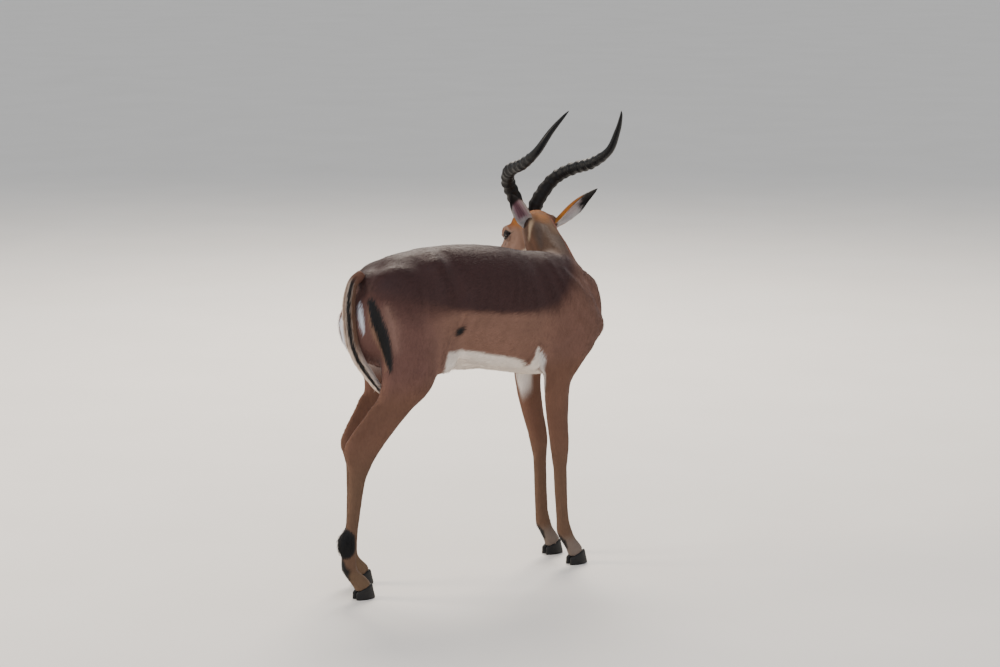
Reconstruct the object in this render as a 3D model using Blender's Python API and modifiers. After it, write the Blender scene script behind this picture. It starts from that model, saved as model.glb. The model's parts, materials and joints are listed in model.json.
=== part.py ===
"""A life-size impala ram, standing still with its neck bent to its left.

Metres, +Z up. The ram's trunk faces +X, its left side is +Y, and the flat soles of its hooves stand on Z = 0.
The flesh is modelled whole from lofts and muscle forms, merged and smoothed, and then parted by thin cuts.
Horns, eyes, ears and hooves are pieces of their own.
"""

import math

import bmesh
import bpy
import numpy as np
from mathutils import Matrix, Vector

# Driving dimensions
HIND_FOOT_X = -0.352  # from the middle of the back
FORE_FOOT_X = 0.349
GAP = 0.0004  # between touching pieces
VOXEL = 0.0048  # grain of the merged flesh
BODY_TRIANGLES = 4250

COAT = {
    "saddle": ((0.27, 0.10, 0.045), 0.6, 0.0),
    "horn": ((0.030, 0.026, 0.024), 0.45, 0.0),
    "hoof": ((0.018, 0.016, 0.016), 0.4, 0.0),
    "eye": ((0.012, 0.008, 0.006), 0.06, 0.0),
    "ear": ((0.36, 0.20, 0.11), 0.7, 0.0),
    "tail": ((0.50, 0.38, 0.28), 0.7, 0.0),
}

UP = Vector((0, 0, 1))
LEFT = Vector((0, 1, 0))


def clear_scene():
    for obj in list(bpy.data.objects):
        bpy.data.objects.remove(obj)


def material(name):
    colour, roughness, metallic = COAT[name]
    made = bpy.data.materials.get(name) or bpy.data.materials.new(name)
    made.use_nodes = True
    shader = made.node_tree.nodes["Principled BSDF"]
    shader.inputs["Base Color"].default_value = (*colour, 1)
    shader.inputs["Roughness"].default_value = roughness
    shader.inputs["Metallic"].default_value = metallic
    return made


def new_object(name, mesh, collection, material_name=None):
    obj = bpy.data.objects.new(name, mesh)
    collection.objects.link(obj)
    if material_name:
        mesh.materials.clear()
        mesh.materials.append(material(material_name))
    return obj


def mesh_from(build):
    """A mesh made by a function that fills a bmesh."""
    bm = bmesh.new()
    build(bm)
    bmesh.ops.triangulate(bm, faces=bm.faces, quad_method="FIXED")
    bmesh.ops.recalc_face_normals(bm, faces=bm.faces)
    mesh = bpy.data.meshes.new("shape")
    bm.to_mesh(mesh)
    bm.free()
    return mesh


def smooth_row(values, count):
    """Catmull-Rom through a row of number lists, with count steps in each span."""
    rows = np.array([values[0], *values, values[-1]], float)
    rows[0] = 2 * rows[1] - rows[2]
    rows[-1] = 2 * rows[-2] - rows[-3]
    out = []
    for i in range(1, len(rows) - 2):
        a, b, c, d = rows[i - 1 : i + 3]
        for k in range(count):
            t = k / count
            out.append(0.5 * (2 * b + (c - a) * t + (2 * a - 5 * b + 4 * c - d) * t * t + (3 * b - a - 3 * c + d) * t**3))
    out.append(rows[-2])
    return np.array(out)


def loft(bm, stations, side=None, ahead=None, square=2.0, sides=20, steps=5):
    """A closed tube through stations of (x, y, z, half width, front depth, back depth).

    side is the direction of the width, or None to keep it level and square to the path.
    ahead is the direction of the front, for sections that stay parallel, or None.
    square is the exponent of the section: 2 is an ellipse, more is boxier.
    """
    rows = smooth_row(stations, steps)
    points = [Vector(r[:3]) for r in rows]
    rings = []
    for i, row in enumerate(rows):
        along = (points[min(i + 1, len(points) - 1)] - points[max(i - 1, 0)]).normalized()
        across = side.copy() if side else UP.cross(along)
        if not ahead:
            across = (across - along * across.dot(along)).normalized()
        front = ahead or along.cross(across)
        half, fore, back = (max(v, 0.0008) for v in row[3:6])
        ring = []
        for k in range(sides):
            turn = 2 * math.pi * k / sides
            c, s = math.cos(turn), math.sin(turn)
            u = math.copysign(abs(c) ** (2 / square), c) * half
            v = math.copysign(abs(s) ** (2 / square), s) * (fore if s > 0 else back)
            ring.append(bm.verts.new(points[i] + across * u + front * v))
        rings.append(ring)
    for a, b in zip(rings, rings[1:]):
        for k in range(sides):
            bm.faces.new((a[k], a[(k + 1) % sides], b[(k + 1) % sides], b[k]))
    for ring, flip in ((rings[0], True), (rings[-1], False)):
        bm.faces.new(ring[::-1] if flip else ring)


def muscle(bm, centre, radii, turn=(0, 0, 0)):
    """An ellipsoid form, turned by degrees about X, Y and Z."""
    spin = Matrix.Identity(4)
    for axis, angle in zip("XYZ", turn):
        spin = Matrix.Rotation(math.radians(angle), 4, axis) @ spin
    place = Matrix.Translation(centre) @ spin @ Matrix.Diagonal((*radii, 1))
    bmesh.ops.create_uvsphere(bm, u_segments=24, v_segments=14, radius=1, matrix=place)


# ---------------------------------------------------------------- trunk

TRUNK = [  # x, top, bottom, half width
    (-0.340, 0.825, 0.752, 0.030),
    (-0.326, 0.850, 0.708, 0.050),
    (-0.285, 0.878, 0.640, 0.078),
    (-0.220, 0.908, 0.602, 0.096),
    (-0.150, 0.921, 0.602, 0.101),
    (-0.060, 0.929, 0.609, 0.108),
    (0.020, 0.927, 0.594, 0.116),
    (0.100, 0.916, 0.574, 0.120),
    (0.180, 0.898, 0.557, 0.115),
    (0.260, 0.890, 0.542, 0.102),
    (0.330, 0.868, 0.544, 0.086),
    (0.390, 0.825, 0.562, 0.070),
    (0.435, 0.770, 0.592, 0.052),
    (0.460, 0.710, 0.640, 0.024),
]


def trunk(bm):
    path = [(x, 0, (top + low) / 2, half, (top - low) / 2, (top - low) / 2) for x, top, low, half in TRUNK]
    loft(bm, path, side=LEFT, square=2.15, sides=28)
    loft(bm, [  # withers and spine
        (0.330, 0, 0.810, 0.030, 0.05, 0.060),
        (0.240, 0, 0.830, 0.034, 0.05, 0.064),
        (0.120, 0, 0.850, 0.030, 0.05, 0.068),
        (-0.060, 0, 0.865, 0.034, 0.05, 0.068),
        (-0.200, 0, 0.850, 0.045, 0.05, 0.068),
        (-0.300, 0, 0.820, 0.042, 0.05, 0.058),
    ], side=-LEFT)
    muscle(bm, (-0.02, 0, 0.600), (0.10, 0.020, 0.022), (0, 8, 0))  # sheath


def haunch(bm, s):
    """The muscles of one hindquarter. s is 1 on the left and -1 on the right."""
    muscle(bm, (-0.098, s * 0.062, 0.880), (0.050, 0.024, 0.027), (0, 10, s * -12))  # hip bone
    muscle(bm, (-0.205, s * 0.054, 0.800), (0.110, 0.046, 0.095), (0, 20, s * 8))  # rump
    muscle(bm, (-0.292, s * 0.036, 0.772), (0.034, 0.028, 0.060))  # seat bone
    muscle(bm, (-0.105, s * 0.078, 0.668), (0.060, 0.024, 0.090), (0, -25, 0))  # flank fold


# ---------------------------------------------------------------- legs

HIND_LEG = [  # x from the foot, half-track, height, half width, front depth, back depth
    (0.120, 0.056, 0.820, 0.034, 0.090, 0.070),
    (0.132, 0.068, 0.730, 0.044, 0.110, 0.078),
    (0.150, 0.077, 0.650, 0.048, 0.104, 0.084),
    (0.148, 0.084, 0.590, 0.043, 0.080, 0.092),
    (0.118, 0.090, 0.540, 0.034, 0.050, 0.070),
    (0.088, 0.093, 0.500, 0.029, 0.038, 0.056),
    (0.060, 0.095, 0.462, 0.0245, 0.030, 0.046),
    (0.034, 0.095, 0.428, 0.0215, 0.027, 0.040),
    (0.008, 0.095, 0.396, 0.0215, 0.028, 0.034),
    (-0.008, 0.094, 0.362, 0.0205, 0.0260, 0.0300),
    (-0.017, 0.093, 0.325, 0.0180, 0.0215, 0.0255),
    (-0.027, 0.092, 0.240, 0.0148, 0.0170, 0.0205),
    (-0.037, 0.091, 0.160, 0.0145, 0.0165, 0.0195),
    (-0.042, 0.090, 0.100, 0.0180, 0.0195, 0.0240),
    (-0.029, 0.090, 0.070, 0.0168, 0.0175, 0.0200),
    (-0.005, 0.090, 0.042, 0.0190, 0.0220, 0.0240),
    (0.003, 0.090, 0.018, 0.0200, 0.0250, 0.0240),
]
FORE_LEG = [
    (-0.075, 0.050, 0.830, 0.026, 0.045, 0.055),
    (-0.030, 0.066, 0.750, 0.038, 0.075, 0.085),
    (-0.012, 0.074, 0.675, 0.042, 0.080, 0.092),
    (-0.040, 0.076, 0.610, 0.038, 0.062, 0.068),
    (-0.066, 0.075, 0.550, 0.031, 0.047, 0.047),
    (-0.070, 0.074, 0.500, 0.0275, 0.0395, 0.0385),
    (-0.067, 0.073, 0.425, 0.0240, 0.0325, 0.0320),
    (-0.060, 0.072, 0.360, 0.0230, 0.0280, 0.0275),
    (-0.057, 0.072, 0.325, 0.0212, 0.0245, 0.0260),
    (-0.055, 0.072, 0.280, 0.0168, 0.0190, 0.0215),
    (-0.051, 0.072, 0.200, 0.0156, 0.0175, 0.0200),
    (-0.045, 0.072, 0.135, 0.0156, 0.0175, 0.0205),
    (-0.039, 0.072, 0.100, 0.0185, 0.0200, 0.0235),
    (-0.023, 0.072, 0.070, 0.0168, 0.0185, 0.0205),
    (-0.005, 0.072, 0.042, 0.0184, 0.0215, 0.0230),
    (0.003, 0.072, 0.018, 0.0190, 0.0240, 0.0230),
]
LEGS = {  # name: (stations, side)
    "hind_leg_right": (HIND_LEG, -1),
    "hind_leg_left": (HIND_LEG, 1),
    "fore_leg_right": (FORE_LEG, -1),
    "fore_leg_left": (FORE_LEG, 1),
}
SWAY = {  # height, how far the leg is set forward there, inward, and down
    "hind_leg_left": (
        (0.000, 0.072, 0.045, 0.000), (0.140, 0.088, 0.032, 0.004), (0.300, 0.088, 0.018, 0.016), (0.424, 0.088, 0.007, 0.024),
        (0.500, 0.078, 0.000, 0.016), (0.550, 0.056, 0.000, 0.008), (0.600, 0.036, 0.000, 0.000), (0.660, 0.014, 0.000, 0.000),
        (0.750, 0.000, 0.000, 0.000),
    ),
    "fore_leg_left": (
        (0.000, 0.006, 0.010, 0.000), (0.100, 0.014, 0.012, 0.000), (0.260, 0.018, 0.013, 0.000), (0.340, 0.016, 0.013, 0.000),
        (0.430, 0.006, 0.007, 0.000), (0.520, -0.003, 0.000, 0.000), (0.600, -0.003, 0.000, 0.000), (0.750, 0.000, 0.000, 0.000),
    ),
}


def placed(name, x, y, z):
    """A point of a leg's pattern, put on that leg."""
    stations, s = LEGS[name]
    foot_x = HIND_FOOT_X if stations is HIND_LEG else FORE_FOOT_X
    rows = SWAY.get(name, ((0, 0, 0, 0),))
    heights = [row[0] for row in rows]
    forward, inward, down = (float(np.interp(z, heights, [row[k] for row in rows])) for k in (1, 2, 3))
    return foot_x + x + forward, s * (y - inward), z - down


def leg(bm, name):
    stations = LEGS[name][0]
    loft(bm, [(*placed(name, *row[:3]), *row[3:]) for row in stations], side=LEFT, square=2.1, sides=16)
    if stations is HIND_LEG:
        loft(bm, [  # tendon and heel bone
            (*placed(name, 0.044, 0.093, 0.530), 0.0095, 0.034, 0.013),
            (*placed(name, 0.010, 0.094, 0.490), 0.0095, 0.040, 0.013),
            (*placed(name, -0.018, 0.094, 0.455), 0.0105, 0.040, 0.014),
            (*placed(name, -0.036, 0.094, 0.428), 0.0130, 0.034, 0.015),
            (*placed(name, -0.040, 0.094, 0.404), 0.0135, 0.022, 0.014),
            (*placed(name, -0.034, 0.093, 0.365), 0.0115, 0.017, 0.0110),
            (*placed(name, -0.032, 0.092, 0.310), 0.0090, 0.014, 0.0100),
        ], side=LEFT, sides=12)
        if name.endswith("right"):  # metatarsal tuft, fuller on the leg that stands back
            muscle(bm, placed(name, -0.057, 0.091, 0.160), (0.0200, 0.0155, 0.034), (0, 4, 0))
        else:
            muscle(bm, placed(name, -0.052, 0.091, 0.138), (0.0165, 0.0150, 0.027), (0, 4, 0))
        muscle(bm, placed(name, 0.196, 0.078, 0.625), (0.036, 0.030, 0.058), (0, -25, 0))  # stifle
    else:
        muscle(bm, placed(name, 0.060, 0.062, 0.675), (0.036, 0.028, 0.045), (0, 20, 0))  # shoulder point
        muscle(bm, placed(name, -0.108, 0.074, 0.592), (0.024, 0.017, 0.028))  # point of the elbow


# ---------------------------------------------------------------- neck and head

POLL = Vector((0.420, 0.245, 0.937))
HEAD_YAW = math.radians(91.5)  # from the trunk's heading round to the left
HEAD_PITCH = math.radians(24.5)  # nose below the level
HEAD_ROLL = math.radians(3)  # left ear raised
AHEAD = Vector((math.cos(HEAD_YAW), math.sin(HEAD_YAW), 0))  # the level way the face points
TO_LEFT = UP.cross(AHEAD) * math.cos(HEAD_ROLL) + UP * math.sin(HEAD_ROLL)
FORWARD = AHEAD * math.cos(HEAD_PITCH) - AHEAD.cross(TO_LEFT) * math.sin(HEAD_PITCH)
HEAD_UP = FORWARD.cross(TO_LEFT)


def from_poll(ahead, left, above):
    """A point given in level steps from the poll, for what stands on the head."""
    return POLL + AHEAD * ahead + TO_LEFT * left + AHEAD.cross(TO_LEFT) * above


def on_head(f, l, u):
    """A point given forward, left and up of the poll, in the head's own directions."""
    return POLL + FORWARD * f + TO_LEFT * l + HEAD_UP * u


def neck(bm):
    loft(bm, [
        (0.220, 0.000, 0.715, 0.070, 0.110, 0.120),
        (0.300, 0.004, 0.750, 0.074, 0.115, 0.128),
        (0.343, 0.030, 0.795, 0.066, 0.096, 0.112),
        (0.361, 0.078, 0.843, 0.056, 0.074, 0.088),
        (0.371, 0.130, 0.880, 0.051, 0.062, 0.074),
        (0.388, 0.185, 0.908, 0.048, 0.055, 0.064),
        (0.409, 0.232, 0.920, 0.046, 0.048, 0.058),
        (0.419, 0.262, 0.922, 0.040, 0.040, 0.050),
    ], sides=24)


HEAD = [  # forward of the poll, rise of the core line, half width, height above, depth below
    (-0.030, -0.020, 0.030, 0.022, 0.028),
    (-0.018, -0.018, 0.042, 0.034, 0.042),
    (0.015, -0.014, 0.049, 0.040, 0.062),
    (0.050, -0.014, 0.050, 0.042, 0.074),
    (0.085, -0.018, 0.050, 0.038, 0.070),
    (0.120, -0.026, 0.042, 0.031, 0.056),
    (0.155, -0.035, 0.033, 0.025, 0.042),
    (0.190, -0.043, 0.0275, 0.021, 0.031),
    (0.220, -0.050, 0.0255, 0.0185, 0.025),
    (0.240, -0.055, 0.0225, 0.0165, 0.020),
    (0.249, -0.058, 0.0140, 0.0100, 0.012),
]


def head(bm):
    loft(bm, [(*on_head(f, 0, u), w, a, b) for f, u, w, a, b in HEAD], side=TO_LEFT, square=2.25, sides=24)
    for s in (1, -1):
        head_muscle(bm, (0.094, s * 0.040, -0.008), (0.032, 0.019, 0.022))  # brow and socket rim
        head_muscle(bm, (0.060, s * 0.034, -0.052), (0.040, 0.015, 0.034))  # cheek
        head_muscle(bm, (0.238, s * 0.014, -0.052), (0.015, 0.012, 0.012))  # nostril wing
        head_muscle(bm, (0.056, s * 0.026, 0.016), (0.025, 0.021, 0.015))  # horn boss
        head_muscle(bm, (-0.006, s * 0.042, -0.012), (0.022, 0.016, 0.022))  # ear root
    head_muscle(bm, (0.222, 0, -0.073), (0.027, 0.015, 0.010))  # chin


def head_muscle(bm, place, radii):
    turn = Matrix((FORWARD, TO_LEFT, HEAD_UP)).transposed().to_4x4()
    size = Matrix.Diagonal((*radii, 1))
    matrix = Matrix.Translation(on_head(*place)) @ turn @ size
    bmesh.ops.create_uvsphere(bm, u_segments=24, v_segments=14, radius=1, matrix=matrix)


# ---------------------------------------------------------------- horns, ears, eyes, hooves, tail

HORN = [  # ahead of the poll, to the side, above, radius
    (0.060, 0.025, 0.012, 0.0190),
    (0.060, 0.038, 0.047, 0.0188),
    (0.051, 0.072, 0.099, 0.0176),
    (0.022, 0.094, 0.129, 0.0167),
    (-0.022, 0.109, 0.149, 0.0157),
    (-0.087, 0.119, 0.169, 0.0141),
    (-0.158, 0.124, 0.211, 0.0119),
    (-0.207, 0.114, 0.271, 0.0084),
    (-0.240, 0.099, 0.313, 0.0046),
    (-0.253, 0.090, 0.331, 0.0016),
]
EAR_LENGTH = 0.150
EAR_HALF = 0.034  # of the leaf laid flat
EAR_ROOT = {"left": (-0.016, 0.051, -0.020), "right": (-0.014, 0.050, -0.010)}  # forward, to the side, up
EAR_WAY = {"left": Vector((-0.38, 0.67, 0.64)), "right": Vector((-0.38, 0.65, 0.63))}
EAR_OPENING = Vector((-0.80, 0.15, -0.55))  # the way the cup faces
EAR_WALL = 0.0028
EYE = (0.091, 0.0460, -0.020)
EYE_RADIUS = 0.0155


def horn(bm, s):
    path = [(*from_poll(a, s * l, z), r, r, r) for a, l, z, r in HORN]
    loft(bm, path, side=AHEAD.cross(UP), sides=10, steps=2)


def ear_sheet(bm, s):
    """The cupped leaf of one ear, open, to be thickened."""
    name = "left" if s > 0 else "right"
    way, opening = (Vector((v.x, s * v.y, v.z)) for v in (EAR_WAY[name], EAR_OPENING))
    level = lambda v: (from_poll(*v) - POLL).normalized()
    way, opening = level(way), level(opening)
    opening = (opening - way * opening.dot(way)).normalized()
    across = way.cross(opening)
    forward, aside, up = EAR_ROOT[name]
    root = on_head(forward, s * aside, up)
    rows, columns = 9, 6
    grid = []
    for i in range(rows + 1):
        t = i / rows
        half = EAR_HALF * min(1, 0.72 + t) * max(0.02, 1 - t**2.6) ** 0.8
        curl = 1.75 - 1.0 * t
        radius = half / curl
        line = []
        for k in range(columns + 1):
            turn = curl * (2 * k / columns - 1)
            bend = opening * (radius * (1 - math.cos(turn)) - 0.010 * math.sin(math.pi * t))
            line.append(bm.verts.new(root + way * (EAR_LENGTH * t) + across * radius * math.sin(turn) + bend))
        grid.append(line)
    for a, b in zip(grid, grid[1:]):
        for k in range(columns):
            bm.faces.new((a[k], a[k + 1], b[k + 1], b[k]))


def eye(bm, s, radius):
    centre = on_head(EYE[0], s * EYE[1], EYE[2])
    bmesh.ops.create_uvsphere(bm, u_segments=12, v_segments=7, radius=radius, matrix=Matrix.Translation(centre))


CLAW_SIDES = 12
CLAW_LENGTH = 0.058
CLAW_HALF = 0.0098
CLAW_TRACK = 0.0104  # from the middle of the foot to the middle of a claw
CORONET_HEIGHT = 0.0295  # of the top edge, under the leg's centre
CORONET_SLOPE = 0.42
HOOF_RINGS = ((0.0, 1.0, 0.0030), (0.12, 1.02, 0.0028), (0.55, 0.93, 0.0010), (1.0, 0.86, -0.0010))


def coronet(x):
    """Height of the hoof's top edge, x ahead of the foot's centre."""
    return CORONET_HEIGHT + CORONET_SLOPE * x


def claw(bm, name, out):
    """One half of a cloven hoof. out is 1 for the outer one and -1 for the inner."""
    s = LEGS[name][1]
    foot = Vector(placed(name, 0, LEGS[name][0][-1][1], 0))
    rings = []
    for t, size, ahead in HOOF_RINGS:
        ring = []
        for k in range(CLAW_SIDES):
            turn = 2 * math.pi * k / CLAW_SIDES
            c, w = math.cos(turn), math.sin(turn)
            x = 0.5 * CLAW_LENGTH * size * c + ahead
            narrow = 1 - 0.42 * max(0, c) ** 2  # towards the toe
            inward = 0.55 * (1 - narrow) * CLAW_HALF  # the toes turn in to each other
            y = CLAW_HALF * min(size, 1) * w * narrow + (CLAW_TRACK - inward) * out
            ring.append(bm.verts.new(foot + Vector((x, s * y, t * coronet(x)))))
        rings.append(ring)
    for a, b in zip(rings, rings[1:]):
        for k in range(CLAW_SIDES):
            bm.faces.new((a[k], a[(k + 1) % CLAW_SIDES], b[(k + 1) % CLAW_SIDES], b[k]))
    bm.faces.new(rings[0][::-1])
    bm.faces.new(rings[-1])


def under_coronet(bm, name, margin=0.0):
    """A block that takes the leg's flesh away from the hoof's top edge down."""
    foot = Vector(placed(name, 0, LEGS[name][0][-1][1], 0))
    half, low = 0.05, -0.03
    corners = [(x, y, z) for x in (-half, half) for y in (-0.035, 0.035) for z in (low, None)]
    found = [
        bm.verts.new(foot + Vector((x, y, coronet(x) + margin if z is None else z)))
        for x, y, z in corners
    ]
    for a, b, c, d in ((0, 1, 3, 2), (4, 6, 7, 5), (0, 4, 5, 1), (2, 3, 7, 6), (0, 2, 6, 4), (1, 5, 7, 3)):
        bm.faces.new([found[i] for i in (a, b, c, d)])


TAIL = [  # x, y, z, half width, front and back depth
    (-0.300, 0.000, 0.868, 0.015, 0.013, 0.013),
    (-0.327, -0.004, 0.848, 0.017, 0.012, 0.013),
    (-0.344, -0.013, 0.810, 0.0215, 0.0105, 0.012),
    (-0.350, -0.021, 0.760, 0.0250, 0.010, 0.012),
    (-0.346, -0.027, 0.700, 0.0250, 0.010, 0.012),
    (-0.330, -0.033, 0.650, 0.0235, 0.010, 0.012),
    (-0.306, -0.045, 0.605, 0.0190, 0.009, 0.010),
    (-0.291, -0.062, 0.575, 0.0110, 0.007, 0.007),
    (-0.284, -0.072, 0.560, 0.0030, 0.003, 0.003),
]


def tail(bm, margin=0.0):
    rows = [(x, y, z, w + margin, a + margin, b + margin) for x, y, z, w, a, b in TAIL]
    loft(bm, rows, side=LEFT, sides=12, steps=2)


# ---------------------------------------------------------------- merging

def fair(mesh, rounds, pull=0.5, push=-0.52, weigh=None):
    """Taubin smoothing, which rounds creases and keeps the volume. weigh gives each point its share of it."""
    points = np.empty(len(mesh.vertices) * 3)
    mesh.vertices.foreach_get("co", points)
    points = points.reshape(-1, 3)
    ends = np.empty(len(mesh.edges) * 2, np.int64)
    mesh.edges.foreach_get("vertices", ends)
    a, b = ends.reshape(-1, 2).T
    count = np.bincount(np.concatenate([a, b]), minlength=len(points))[:, None]
    share = 1 if weigh is None else weigh(points)[:, None]
    for _ in range(rounds):
        for weight in (pull, push):
            total = np.stack([
                np.bincount(a, points[b, k], len(points)) + np.bincount(b, points[a, k], len(points))
                for k in range(3)
            ], 1)
            points = points + weight * share * (total / count - points)
    mesh.vertices.foreach_set("co", points.ravel())
    mesh.update()


def on_barrel(points):
    """1 on the trunk and the thick of the limbs, falling to 0 on the lower legs and the head."""
    above = np.clip((points[:, 2] - 0.46) / 0.12, 0, 1)
    behind = np.clip((0.17 - points[:, 1]) / 0.06, 0, 1)
    return above * behind


def evaluated_mesh(obj):
    graph = bpy.context.evaluated_depsgraph_get()
    return bpy.data.meshes.new_from_object(obj.evaluated_get(graph))


def flesh_mesh(helpers):
    """The whole body as one closed surface."""
    def build(bm):
        trunk(bm)
        neck(bm)
        head(bm)
        for s in (1, -1):
            haunch(bm, s)
        for name in LEGS:
            leg(bm, name)
    rough = new_object("rough_flesh", mesh_from(build), helpers)
    merge = rough.modifiers.new("merge", "REMESH")
    merge.mode = "VOXEL"
    merge.voxel_size = VOXEL
    bpy.context.view_layer.update()
    whole = new_object("whole_flesh", evaluated_mesh(rough), helpers)
    fair(whole.data, 14)
    fair(whole.data, 34, 0.6, 0.0, on_barrel)
    thin = whole.modifiers.new("thin", "DECIMATE")
    thin.ratio = BODY_TRIANGLES / (2 * len(whole.data.polygons))
    bpy.context.view_layer.update()
    return evaluated_mesh(whole)


# ---------------------------------------------------------------- parting

REGIONS = {  # what belongs to a limb: x from the foot, inner side, height, length ahead, length behind
    "hind": [
        (0.120, 0.088, 0.900, 0.030, 0.030),
        (0.120, 0.066, 0.850, 0.100, 0.110),
        (0.125, 0.050, 0.760, 0.160, 0.160),
        (0.140, 0.036, 0.660, 0.170, 0.170),
        (0.122, 0.021, 0.592, 0.190, 0.190),
        (0.050, 0.008, 0.500, 0.250, 0.180),
        (0.000, 0.004, 0.300, 0.160, 0.160),
        (0.000, 0.004, -0.020, 0.150, 0.150),
    ],
    "fore": [
        (-0.070, 0.078, 0.870, 0.020, 0.020),
        (-0.060, 0.064, 0.820, 0.065, 0.065),
        (-0.030, 0.058, 0.740, 0.110, 0.110),
        (-0.020, 0.052, 0.660, 0.125, 0.125),
        (-0.045, 0.040, 0.590, 0.120, 0.110),
        (-0.060, 0.010, 0.520, 0.140, 0.120),
        (-0.050, 0.004, 0.300, 0.140, 0.130),
        (-0.040, 0.004, -0.020, 0.150, 0.150),
    ],
}
REGION_HALF = 0.11


def region(bm, name, margin=0.0):
    """The space a limb is cut out of the body by."""
    kind = name.split("_")[0]
    rows = []
    for x, inner, z, ahead, behind in REGIONS[kind]:
        at = placed(name, x, inner + REGION_HALF, z if rows else z + 2 * margin)
        rows.append((*at, REGION_HALF + margin, ahead + margin, behind + margin))
    loft(bm, rows, side=LEFT, ahead=Vector((1, 0, 0)), square=2.6, sides=14, steps=1)


def beyond(bm, point, way, margin=0.0):
    """A block on the far side of a plane that faces the given way."""
    way = way.normalized()
    turn = way.to_track_quat("Z", "Y").to_matrix().to_4x4()
    size = 0.44
    centre = point + way * (size / 2 - margin)
    matrix = Matrix.Translation(centre) @ turn @ Matrix.Diagonal((size, size, size, 1))
    bmesh.ops.create_cube(bm, size=1, matrix=matrix)


HEAD_CUT = (on_head(-0.030, 0, -0.02), Vector((0.12, 0.90, 0.10)))
NECK_CUT = (Vector((0.318, 0.012, 0.765)), Vector((0.60, 0.22, 0.62)))


def island(vert):
    """Every vertex joined to this one."""
    found = {vert}
    edge_of = [vert]
    while edge_of:
        for edge in edge_of.pop().link_edges:
            for near in edge.verts:
                if near not in found:
                    found.add(near)
                    edge_of.append(near)
    return found


def tidied(mesh):
    """The mesh's main body, with stray doubles merged and every face out."""
    bm = bmesh.new()
    bm.from_mesh(mesh)
    bmesh.ops.remove_doubles(bm, verts=bm.verts, dist=2e-6)
    bmesh.ops.dissolve_degenerate(bm, edges=bm.edges, dist=1e-6)
    rest, bodies = set(bm.verts), []
    while rest:
        bodies.append(island(next(iter(rest))))
        rest -= bodies[-1]
    main_body = max(bodies, key=len)
    crumbs = [vert for vert in bm.verts if vert not in main_body]
    bmesh.ops.delete(bm, geom=crumbs, context="VERTS")
    bmesh.ops.triangulate(bm, faces=bm.faces, ngon_method="EAR_CLIP")
    bmesh.ops.recalc_face_normals(bm, faces=bm.faces)
    bm.to_mesh(mesh)
    bm.free()
    return mesh


class Carver:
    """Boolean cuts on meshes, each done on throwaway helpers."""

    def __init__(self, helpers):
        self.helpers = helpers

    def cut(self, mesh, other, operation):
        first = new_object("cut_first", mesh, self.helpers)
        second = new_object("cut_second", other, self.helpers)
        knife = first.modifiers.new("cut", "BOOLEAN")
        knife.object = second
        knife.operation = operation
        bpy.context.view_layer.update()
        result = evaluated_mesh(first)
        bpy.data.objects.remove(first)
        bpy.data.objects.remove(second)
        return tidied(result)

    def take(self, mesh, build):
        """Parts a mesh by a region: what lies inside it, and what is left with a gap between them."""
        inside = self.cut(mesh, mesh_from(build), "INTERSECT")
        left = self.cut(mesh, mesh_from(lambda bm: build(bm, margin=GAP)), "DIFFERENCE")
        return inside, left

    def without(self, mesh, build):
        return self.cut(mesh, mesh_from(build), "DIFFERENCE")


def swollen(mesh, by):
    """A copy of a closed mesh, grown by a distance."""
    bm = bmesh.new()
    bm.from_mesh(mesh)
    bm.normal_update()
    for vert in bm.verts:
        vert.co += vert.normal * by
    copy = bpy.data.meshes.new("swollen")
    bm.to_mesh(copy)
    bm.free()
    return copy


def thickened(mesh, wall, helpers):
    sheet = new_object("sheet", mesh, helpers)
    give = sheet.modifiers.new("wall", "SOLIDIFY")
    give.thickness = wall
    give.offset = 0
    bpy.context.view_layer.update()
    result = evaluated_mesh(sheet)
    bpy.data.objects.remove(sheet)
    return result


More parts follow.
